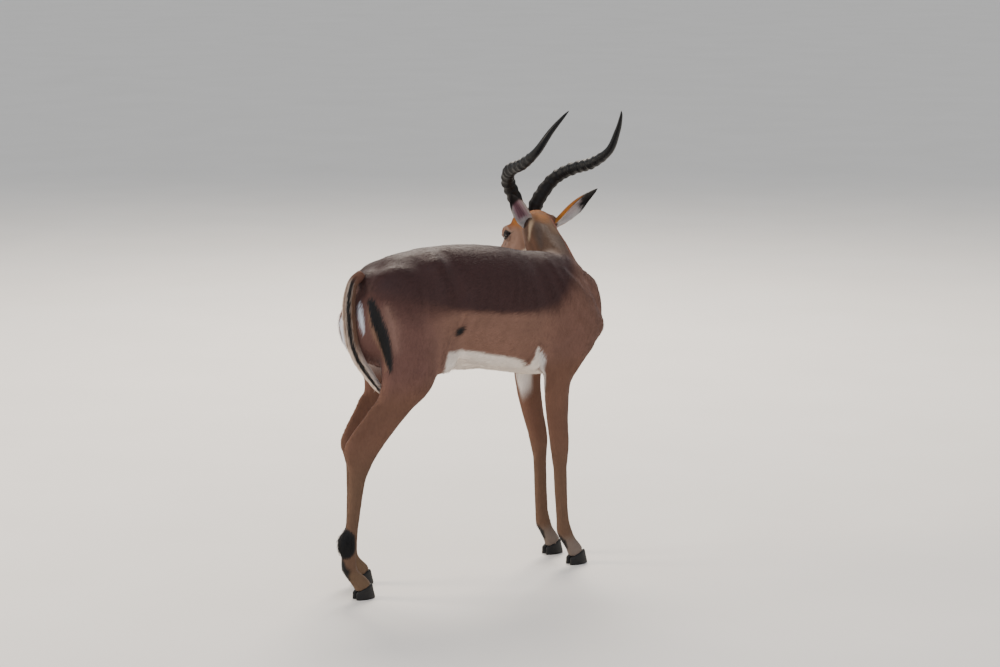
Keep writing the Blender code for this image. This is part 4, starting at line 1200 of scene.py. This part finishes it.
def makeClaw(leg, outward, name):
    foot = np.array(legPoint(leg, 0, footAside[leg[:4]], 0))
    halfLength, half = 0.5 * clawShape["length"], clawShape["half"]
    rings, heights = [], []
    for i in range(clawShape["rings"] + 1):
        t = clawShape["over"] * (i / clawShape["rings"]) ** 1.15
        size, lead = (np.interp(t, clawProfile[:, 0], clawProfile[:, k]) for k in (1, 2))
        onWall = 0.04 < t < 0.98
        growth = 1 + 0.006 * math.sin(t * 30) * onWall + 0.004 * math.sin(t * 71 + 1) * onWall
        ring = []
        for turn in circle(clawShape["sides"]):
            c, w = math.cos(turn), math.sin(turn)
            narrow = 1 - clawShape["pointed"] * max(0, c) ** 2
            inward = 0.55 * (1 - narrow) * half
            x = halfLength * size * growth * c + lead
            y = half * min(size, 1) * growth * w * narrow + (clawShape["track"] - inward) * outward
            top = clawShape["topHeight"] + clawShape["topSlope"] * x
            ring.append(foot + np.array((x, sideOf(leg) * y, t * top)) - bodyOrigin)
            heights.append(t)
        rings.append(ring)
    mesh = tubeMesh(name, rings)
    storeOn(mesh, "clawHeight", heights)
    return newObject(name, mesh)


hoofFinish = {"horn": "#0b0a0b", "dust": "#1c1816", "lineMm": math.pi * 100 / 60, "scuffMm": 1000 / 220,
              "bump": 0.3, "bumpMm": 0.5}


def makeHoofMaterial():
    # grown horn, fine growth lines round it, dusty and scuffed at the edge it walks on
    made, tree, shader = newMaterial("grownHoofHorn", Roughness=0.52, IOR=1.54, Specular_IOR_Level=0.30)
    place = addNode(tree, "ShaderNodeTexCoord").node.outputs["Object"]
    height = addNode(tree, "ShaderNodeAttribute", attribute_name="clawHeight").node.outputs["Fac"]
    lines = addNode(tree, "ShaderNodeTexWave", {  # a band of the wave is pi / 10 m at a scale of 1
        "Vector": place, "Scale": math.pi * 100 / hoofFinish["lineMm"], "Distortion": 3.0, "Detail": 3.0},
        bands_direction="Z")
    scuff = addNode(tree, "ShaderNodeTexNoise", {
        "Vector": place, "Scale": 1000 / hoofFinish["scuffMm"], "Detail": 6.0})
    low = addNode(tree, "ShaderNodeMapRange", {
        "Value": height, "From Min": 0.0, "From Max": 0.35, "To Min": 0.75, "To Max": 0.18})
    share = addNode(tree, "ShaderNodeMath", {0: low, 1: scuff}, operation="MULTIPLY")
    dusty = addNode(tree, "ShaderNodeMix", {
        "Factor": share, "A": hoofFinish["horn"], "B": hoofFinish["dust"]}, data_type="RGBA")
    bump = addNode(tree, "ShaderNodeBump", {
        "Height": lines.node.outputs["Fac"], "Strength": hoofFinish["bump"], "Distance": hoofFinish["bumpMm"] / 1000})
    fillShader(shader, Base_Color=dusty, Normal=bump)
    return made


hoofMaterial = makeHoofMaterial()
for leg in foreLegs + hindLegs:
    place, sideName = leg.split("_leg_")
    for outward, word in ((1, "outer"), (-1, "inner")):
        claw = makeClaw(leg, outward, f"claw{place.capitalize()}{sideName.capitalize()}{word.capitalize()}")
        finishPiece(claw, hoofMaterial, "hoof", f"{place}_hoof_{sideName}_{word}")
print("hooves made")


# ears: long cupped leaves, veined and pale inside, black towards the points

earPiece = {"length": 0.150, "half": 0.034, "wall": 0.0021, "rows": 56, "columns": 30, "below": 0.07,
            "root": {1: (-0.016, 0.051, -0.020), -1: (-0.014, 0.050, -0.010)},
            "way": {1: (-0.38, 0.67, 0.64), -1: (-0.38, 0.65, 0.63)}, "opening": (-0.80, 0.15, -0.55)}
earColours = {"outside": "#9c6022", "outsideRoot": "#a56b2a", "inside": "#b59a9e", "insideDeep": "#7a515c",
              "insideHair": "#d3cdc8", "vein": "#371f26", "tip": "#0b090a", "rim": "#2a1d19"}
earVeins = ((-0.42, 0.10, 0.8), (-0.16, 0.04, 1.0), (0.10, -0.03, 1.0), (0.36, -0.12, 0.7))  # start, lean, strength
earMarks = {  # how much of each mark the left and the right ear show
    1: {"grey": 0.0, "deep": 0.85, "vein": 0.75, "insideShade": 0.0, "tip": (0.68, 0.80), "rim": 0.3},
    # the right ear's insideShade is painted shade over its whole inside
    -1: {"grey": 0.70, "deep": 0.25, "vein": 0.4, "insideShade": 0.20, "tip": (0.62, 0.76), "rim": 0.8}}


def earSheet(side):
    # points of the leaf's middle, row by row, with how far along and across each one is
    way, opening = (unit(ahead * a + toLeft * side * l + aboveHead * u)
                    for a, l, u in (earPiece["way"][side], earPiece["opening"]))
    opening = unit(opening - way * (opening @ way))
    acrossEar = np.cross(way, opening)
    f, l, u = earPiece["root"][side]
    root = onHead(f, side * l, u)
    rows, along = [], []
    for i in range(earPiece["rows"] + 1):
        t = -earPiece["below"] + (1 + earPiece["below"]) * i / earPiece["rows"]
        tt = max(t, 0.0)
        half = earPiece["half"] * min(1, 0.72 + tt) * max(0.02, 1 - tt ** 2.6) ** 0.8
        half *= (1 - 0.16 * falling(-0.06, 0.14, t)) * (1.04 + 0.20 * hump(t, 0.52, 0.20) if side < 0 else 1.0)
        curl = 1.75 - 1.0 * tt
        radius = half / curl
        line = []
        for k in range(earPiece["columns"] + 1):
            turn = curl * (2 * k / earPiece["columns"] - 1)
            bend = opening * (radius * (1 - math.cos(turn)) - 0.010 * math.sin(math.pi * tt))
            line.append(root + way * (earPiece["length"] * t) + acrossEar * radius * math.sin(turn) + bend)
        rows.append(line)
        along.append([t] * len(line))
    across = np.tile(np.linspace(-1, 1, earPiece["columns"] + 1), (len(rows), 1))
    return np.array(rows), np.array(along), across, way, opening


def earTones(t, e, inside, side):
    # e runs from one edge to the other; the edge nearer the crown is at +1 on the left ear and -1 on the right
    tones, lay = painter(earColours, "outside", len(t))
    marks = earMarks[side]
    edge = np.abs(e)
    lay("outsideRoot", falling(0.0, 0.3, t))
    lay("inside", inside)
    lay("insideHair", inside * marks["grey"])
    lay("insideDeep", inside * falling(0.15, 0.55, np.abs(e + 0.1 * side)) * rising(0.10, 0.30, t)
        * falling(0.72, 0.86, t) * marks["deep"])
    for start, lean, strength in earVeins:
        line = start + lean * t + 0.05 * np.sin(7 * t + 5 * start)
        lay("vein", inside * hump(e, line, 0.035) * rising(0.12, 0.22, t) * falling(0.70, 0.82, t)
            * strength * marks["vein"])
    lay("insideHair", inside * rising(0.55, 0.86, edge) * falling(0.55, 0.78, t))
    lay("insideHair", inside * falling(0.10, 0.26, t))
    # painted shade: the vein tone laid over the whole inside of the right ear
    lay("vein", inside * marks["insideShade"])
    lower = rising(0.05, 0.60, -e * side) * rising(0.42, 0.58, t) * (side < 0)
    lay("tip", np.maximum(rising(*marks["tip"], t + 0.07 * (1 - e * side)), lower))
    lay("rim", rising(0.93, 0.985, edge) * rising(0.30, 0.5, t) * marks["rim"])
    return tones


def makeEar(side, name):
    centre, t, e, way, opening = earSheet(side)
    out = unit(np.cross(np.gradient(centre, axis=1), np.gradient(centre, axis=0)))
    out = out * np.sign(np.sum(out[len(out) // 2, out.shape[1] // 2] * opening))  # towards the opening
    wall = 0.5 * earPiece["wall"] * (1 + 0.9 * falling(0.0, 0.25, t)) * (1 - 0.45 * rising(0.8, 1.0, np.abs(e)))
    relief = 0.0
    for start, lean, strength in earVeins:
        relief = relief + 0.0007 * hump(e, start + lean * t, 0.07) * rising(0.05, 0.15, t) * falling(0.72, 0.85, t)
    folds = 0.0014 * hump(np.abs(e), 0.62, 0.12) * falling(0.10, 0.34, t)
    inner = centre + out * (wall + relief + folds)[..., None] - bodyOrigin
    outer = centre - out * wall[..., None] - bodyOrigin
    mesh = tubeMesh(name, [[*a, *b[::-1]] for a, b in zip(inner, outer)])
    t, e = (np.concatenate([np.concatenate([row, row[::-1]]) for row in rows]) for rows in (t, e))
    inside = np.tile(np.repeat([1.0, 0.0], earPiece["columns"] + 1), earPiece["rows"] + 1)
    storeColour(mesh, "coatColour", earTones(t, e, inside, side))
    lie = way + (0.45 * np.sign(e) * (np.abs(e) > 0.5))[:, None] * -unit(np.cross(way, opening)) * inside[:, None]
    normals = normalsOf(mesh)
    storeOn(mesh, "lie", unit(lie - normals * np.sum(lie * normals, axis=1, keepdims=True)))
    edge = np.abs(e)
    length = 0.0042 + inside * (0.0105 * rising(0.45, 0.85, edge) * falling(0.60, 0.85, t)
                                + 0.006 * falling(0.08, 0.25, t))
    isLong = rising(0.006, 0.012, length)
    width = 0.0008 + 0.00025 * isLong
    bare = inside * falling(0.30, 0.50, edge) * rising(0.16, 0.28, t)
    growth = (1 - 0.80 * bare) / (0.5 * length * width)
    growth *= (t > 0.0) * (t < 0.985)
    storeHair(mesh, growth, length, width, np.radians(3 + 9 * inside * isLong))
    return newObject(name, mesh)


# tail: a narrow core under long hair, black down the middle of its back and white at the sides and beneath

tailPiece = {"steps": 12, "sides": 40, "core": 0.96, "coreTo": 0.90, "stripeAt": 130, "hairWidth": 0.0017,
             "cover": 2.6}
tailRows = [  # mm: ahead, to the left, height, half width, depth at the front, at the back
    (-300, 0, 868, 15, 13, 13), (-327, -4, 848, 17, 12, 13), (-344, -13, 810, 21.5, 10.5, 12),
    (-350, -21, 760, 25, 10, 12), (-346, -27, 700, 25, 10, 12), (-330, -33, 650, 23.5, 10, 12),
    (-306, -45, 605, 19, 9, 10), (-291, -62, 575, 11, 7, 7), (-284, -72, 560, 3, 3, 3),
]
tailColours = {"stripe": "#120d0c", "root": "#5f4033", "flankSide": "#5e4435", "white": "#b5a8a0",
               "whiteEdge": "#d8c7b8"}


def tailTone(t, turned, onBack):
    # t runs down the tail; turned is the angle from the middle of the stripe, in degrees
    white, whiteEdge, flankSide, stripe, root = (
        np.array(toLinear(tailColours[k])) for k in ("white", "whiteEdge", "flankSide", "stripe", "root"))
    tan = rising(18, 26, turned) * falling(100, 122, turned) * (1 - 0.75 * rising(0.50, 0.80, t))
    tan = max(tan, falling(-34, -24, turned) * rising(-74, -60, turned) * 0.75 * falling(0.40, 0.75, t))
    tone = mixed(mixed(white, whiteEdge, onBack), flankSide, tan)
    tone = mixed(tone, stripe, falling(19, 25, abs(turned)) * rising(0.03, 0.08, t))
    return mixed(tone, root, falling(0.06, 0.15, t))


def makeTail():
    rows = smoothCurve(mm(tailRows), tailPiece["steps"])
    count = int(len(rows) * tailPiece["coreTo"])
    rows = rows[:count]
    rings, tones, lie, growth, length, lift = [], [], [], [], [], []
    for i, row in enumerate(rows):
        t = i / (count - 1)
        along = unit(rows[min(i + 1, count - 1)][:3] - rows[max(i - 1, 0)][:3])
        aside = unit(np.array((0.0, 1.0, 0.0)) - along * along[1])
        back = np.cross(aside, along)
        if back[0] > 0:
            back = -back
        core = tailPiece["core"] + 0.10 * falling(0.0, 0.14, t)
        hair = 0.012 + 0.012 * rising(0.08, 0.30, t)
        ring = []
        for turn in circle(tailPiece["sides"]):
            c, s = math.cos(turn), math.sin(turn)
            depth = row[5] if s > 0 else row[4]
            ring.append(row[:3] + aside * row[3] * core * c + back * depth * core * s - bodyOrigin)
            turned = math.degrees(turn) % 360 - tailPiece["stripeAt"]
            tones.append(tailTone(t, turned, rising(-0.1, 0.35, s)))
            lie.append(unit(along + aside * 0.03 * c))
            length.append(hair)
            growth.append(tailPiece["cover"] / (0.5 * hair * tailPiece["hairWidth"]) * (t > 0.02))
            lift.append(math.radians(2.5 + 2.5 * rising(0.1, 0.4, t)))
        rings.append(ring)
    mesh = tubeMesh("tailCore", rings)
    storeColour(mesh, "coatColour", tones)
    storeOn(mesh, "lie", lie)
    storeHair(mesh, growth, length, [tailPiece["hairWidth"]] * len(length), lift)
    return newObject("tailCore", mesh)


ears = {word: makeEar(side, "earLeaf" + word) for word, side in sides.items()}
tailCore = makeTail()
print("ears and tail made")


# locks of hair: a tree lays thin closed blades over a surface, along its lie, and makes them real

lockPiece = {"spreadDegrees": 9, "rollDegrees": 14, "patch": 0.003, "most": 24000, "quickShare": 0.15,
             "draws": {"lift": (0.4, 1.7), "roll": (-1.0, 1.0), "spread": (-1.0, 1.0), "length": (0.75, 1.25),
                       "width": (0.7, 1.3)},
             "cover": {"head": 0.62, "neck": 0.62, "trunk": 0.62, "legs": 0.50, "ear": 0.55, "tail": 0.80}}


def makeLock(name, rings, root=(-0.02, -0.03), tip=(1.0, 0.004)):
    # one unit long; a ring is along, half width, height, half thickness
    points, patch = [(root[0], 0, root[1])], [(-0.5, 0, 0)]
    for x, half, height, thick in rings:
        points += [(x, half, height), (x, 0, height + thick), (x, -half, height), (x, 0, height - thick)]
        patch += [(x - 0.5, y, 0) for y in (half, 0, -half, 0)]
    points.append((tip[0], 0, tip[1]))
    patch.append((0.5, 0, 0))
    faces = [(0, 1 + (k + 1) % 4, 1 + k) for k in range(4)]
    for a in range(1, 4 * len(rings) - 3, 4):
        faces += [(a + k, a + (k + 1) % 4, a + 4 + (k + 1) % 4, a + 4 + k) for k in range(4)]
    a, last = 4 * len(rings) - 3, len(points) - 1
    faces += [(a + k, a + (k + 1) % 4, last) for k in range(4)]
    mesh = closedMesh(name, points, faces, triangulated=True)
    storeOn(mesh, "patch", patch)
    return newObject(name, mesh)


def makeLockTree():
    tree = bpy.data.node_groups.new("laidLocks", "GeometryNodeTree")
    for name, kind, way in (
            ("Geometry", "Geometry", "INPUT"), ("Lock", "Object", "INPUT"), ("Density", "Float", "INPUT"),
            ("Spread", "Float", "INPUT"), ("Roll", "Float", "INPUT"), ("Patch", "Float", "INPUT"),
            ("Seed", "Int", "INPUT"), ("Hair", "Material", "INPUT"), ("Geometry", "Geometry", "OUTPUT")):
        tree.interface.new_socket(name, in_out=way, socket_type="NodeSocket" + kind)
    given = addNode(tree, "NodeGroupInput").node.outputs
    kinds = {**dict.fromkeys(hairLayers, "FLOAT"), **dict.fromkeys(("lie", "patch", "rootPlace"), "FLOAT_VECTOR")}
    stored = {name: addNode(tree, "GeometryNodeInputNamedAttribute", {"Name": name}, data_type=kind)
              for name, kind in kinds.items()}
    drawn = {name: addNode(tree, "FunctionNodeRandomValue", {"Min": low, "Max": high, "Seed": seed},
                           data_type="FLOAT")
             for seed, (name, (low, high)) in enumerate(lockPiece["draws"].items(), 1)}
    density, lift, roll, spread, length, width = (
        addNode(tree, "ShaderNodeMath", {0: a, 1: b}, operation="MULTIPLY") for a, b in (
            (stored["growth"], given["Density"]), (stored["hairLift"], drawn["lift"]), (drawn["roll"], given["Roll"]),
            (drawn["spread"], given["Spread"]), (stored["hairLength"], drawn["length"]),
            (stored["hairWidth"], drawn["width"])))
    roots = addNode(tree, "GeometryNodeDistributePointsOnFaces", {
        "Mesh": given["Geometry"], "Density": density, "Seed": given["Seed"]})
    base = addNode(tree, "FunctionNodeAxesToRotation", {0: roots.node.outputs["Normal"], 1: stored["lie"]},
                   primary_axis="Z", secondary_axis="X")
    raised = addNode(tree, "ShaderNodeMath", {0: lift, 1: -1.0}, operation="MULTIPLY")
    turn = addNode(tree, "ShaderNodeCombineXYZ", {0: roll, 1: raised, 2: spread})
    turned = addNode(tree, "FunctionNodeEulerToRotation", {0: turn})
    rotation = addNode(tree, "FunctionNodeRotateRotation", {0: base, 1: turned},
                       rotation_space="LOCAL")
    size = addNode(tree, "ShaderNodeCombineXYZ", {0: length, 1: width, 2: length})
    lock = addNode(tree, "GeometryNodeObjectInfo", {"Object": given["Lock"]})
    laid = addNode(tree, "GeometryNodeInstanceOnPoints", {
        "Points": roots, "Instance": lock.node.outputs["Geometry"], "Rotation": rotation,
        "Scale": size})
    real = addNode(tree, "GeometryNodeRealizeInstances", {"Geometry": laid})
    offset = addNode(tree, "ShaderNodeVectorMath", {0: stored["patch"], "Scale": given["Patch"]}, operation="SCALE")
    place = addNode(tree, "ShaderNodeVectorMath", {0: stored["rootPlace"], 1: offset}, operation="ADD")
    mapped = addNode(tree, "GeometryNodeStoreNamedAttribute", {
        "Geometry": real, "Name": "OFBake", "Value": place}, data_type="FLOAT2", domain="CORNER")
    dressed = addNode(tree, "GeometryNodeSetMaterial", {"Geometry": mapped, "Material": given["Hair"]})
    addNode(tree, "NodeGroupOutput", {"Geometry": dressed})
    return tree


def emitterOf(name, mesh, triangles):
    # a bare piece of a surface with its growth, and a flat unwrap of its own shape
    used, index = np.unique(triangles, return_inverse=True)
    piece = bpy.data.meshes.new(name)
    piece.from_pydata(pointsOf(mesh)[used].tolist(), [], index.reshape(-1, 3).tolist())
    for layer, size in [(layer, 1) for layer in hairLayers] + [("lie", 3), ("coatColour", 4)]:
        storeOn(piece, layer, readLayer(mesh, layer, size)[used])
    made = newObject(name, piece)
    piece.uv_layers.new(name="rootPlace")
    bpy.context.view_layer.objects.active = made
    made.select_set(True)
    bpy.ops.object.mode_set(mode="EDIT")
    bpy.ops.mesh.select_all(action="SELECT")
    bpy.ops.uv.smart_project(angle_limit=math.radians(66), island_margin=0.004)
    bpy.ops.object.mode_set(mode="OBJECT")
    made.select_set(False)
    return made


def layLocks(name, mesh, triangles, lock, kind, seed, slot):
    emitter = emitterOf(name, mesh, triangles)
    a, b, c = pointsOf(mesh)[triangles].transpose(1, 0, 2)
    area = 0.5 * np.linalg.norm(np.cross(b - a, c - a), axis=1)
    expected = float((area * readLayer(mesh, "growth")[triangles].mean(axis=1)).sum())
    cover = min(lockPiece["cover"][kind], lockPiece["most"] / max(expected, 1.0))
    values = {"Lock": lock, "Density": cover * 1.0,
              "Spread": math.radians(lockPiece["spreadDegrees"]), "Roll": math.radians(lockPiece["rollDegrees"]),
              "Patch": lockPiece["patch"], "Seed": seed, "Hair": coatMaterial}
    laying = emitter.modifiers.new("locks", "NODES")
    laying.node_group = lockTree
    for item in lockTree.interface.items_tree:
        if item.in_out == "INPUT" and item.name in values:
            laying[item.identifier] = values[item.name]
    laid = evaluatedMesh(emitter)
    emitter.modifiers.clear()
    emitter.data = laid
    dropLayers(laid, *hairLayers, "patch", "rootPlace")
    laid.name = name
    print(name, "has", len(laid.polygons), "triangles")
    finishPiece(emitter, coatMaterial, slot)


coatLength = {"trunk": 0.0140, "leg": 0.0078, "foot": 0.0058, "head": 0.0092, "face": 0.0052, "muzzle": 0.0030}
longerHair = {"under": (0.004, 5), "rear": (0.008, 4), "sheath": (0.006, 10), "tuft": (0.010, 5), "heel": (0.005, 8)}
heelHair = {"hind": [(-58, 90, 92, 9), (-40, 90, 58, 8)], "fore": [(-58, 72, 92, 9), (-40, 72, 58, 8)]}


def growthOf(mesh):
    # growth, length, width and lift of the hair at each point of the skin
    x, y, z = body.T
    aside = np.abs(y)
    f, l, u = headSpace(body)
    length = np.full(len(body), coatLength["trunk"])
    lift = np.full(len(body), 1.3)
    share = np.ones(len(body))

    def lengthen(kind, where, whereLifted=None):
        nonlocal length, lift
        extra, raised = longerHair[kind]
        length = length + extra * where
        lift = lift + raised * (where if whereLifted is None else whereLifted)

    under = rising(0.35, 0.8, -out[:, 2]) * (z > 0.50)
    lengthen("under", under * (aside < 0.08), under * (aside < 0.06))
    lengthen("rear", rising(-0.27, -0.31, x) * falling(0.030, 0.060, aside) * (z > 0.60) * (z < 0.83))
    lengthen("sheath", np.exp(-(((x + 0.075) / 0.035) ** 2 + (y / 0.03) ** 2)) * (z < 0.64) * (z > 0.5))
    length = mixed(length, coatLength["leg"], falling(0.46, 0.62, z))
    length = mixed(length, coatLength["foot"], falling(0.09, 0.20, z))
    length = length - 0.003 * (rising(0.0, 0.10, y) * (z > 0.74) * (1 - onHeadNow))
    face = onHeadNow * rising(-0.03, 0.05, f)
    length = mixed(length, mixed(coatLength["head"], coatLength["face"], face), onHeadNow)
    length = mixed(length, coatLength["muzzle"], onHeadNow * rising(0.16, 0.22, f))
    width = 0.00065 + 0.062 * length
    for leg in hindLegs:
        drop, size = tuftSetting[leg]
        dense = band(body, legRows(leg, hindTuft, drop, 0.85 * size), 0.004)
        lengthen("tuft", dense)
        width += 0.0004 * dense
        share += 1.5 * dense
    for leg in hindLegs + foreLegs:
        lengthen("heel", band(body, legRows(leg, heelHair[leg[:4]]), 0.004))
    growth = share / (0.5 * length * width)
    for side in (1, -1):
        opening, distance, ray, centre = lidOpening(body, side)
        growth *= np.where(distance < 0.030, rising(1.30, 1.55, opening), 1)
    growth *= 1 - onHeadNow * rising(0.236, 0.241, f) * falling(0.014, 0.018, np.abs(l)) * rising(-0.064, -0.060, u)
    growth *= rising(0.026, 0.034, z)  # none over the hooves
    storeHair(mesh, growth, length, width, np.radians(lift))


growthOf(skin.data)
lockTree = makeLockTree()
shortLock = makeLock("shortLock", [(0.34, 0.5, 0.016, 0.010)])
longLock = makeLock("longLock", [(0.15, 0.36, 0.012, 0.016), (0.45, 0.5, 0.034, 0.018), (0.76, 0.34, 0.030, 0.012)])

triangles = trianglesOf(skin.data)
mx, my, mz = body[triangles].mean(axis=1).T
inHead = onHeadNow[triangles].mean(axis=1) > 0.5
inLegs = (mz < 0.56) & ~inHead
inNeck = ~inHead & (mz > 0.72) & (my + 0.5 * (mz - 0.85) + 1.2 * np.maximum(mx - 0.40, 0) > 0.03) & (mx > 0.26)
inTrunk = ~(inHead | inLegs | inNeck)
inRump, onRight = mx < -0.02, my < 0
coatRegions = [
    ("coatHead", inHead, "head"), ("coatNeck", inNeck, "neck"),
    ("coatForeLegs", inLegs & (mx > 0.05), "legs"), ("coatHindLegs", inLegs & (mx <= 0.05), "legs"),
    ("coatRumpRight", inTrunk & inRump & onRight, "trunk"), ("coatRumpLeft", inTrunk & inRump & ~onRight, "trunk"),
    ("coatChestRight", inTrunk & ~inRump & onRight, "trunk"),
    ("coatChestLeft", inTrunk & ~inRump & ~onRight, "trunk")]
for seed, (name, chosen, kind) in enumerate(coatRegions, 1):
    layLocks(name, skin.data, triangles[chosen], shortLock, kind, seed, "coat")
for seed, (word, ear) in enumerate(ears.items(), 20):
    layLocks("hairEarLeaf" + word, ear.data, trianglesOf(ear.data), shortLock, "ear", seed, "ear")
layLocks("tailHair", tailCore.data, trianglesOf(tailCore.data), longLock, "tail", 30, "tail")
for lock in (shortLock, longLock):
    bpy.data.objects.remove(lock)
for piece in (skin, tailCore, *ears.values()):
    dropLayers(piece.data, *hairLayers)
print("coat laid")

finishPiece(skin, coatMaterial, "coat", *fleshNodes)
for word, ear in ears.items():
    finishPiece(ear, coatMaterial, "ear", "ear_" + word.lower())
finishPiece(tailCore, coatMaterial, "tail", "tail")
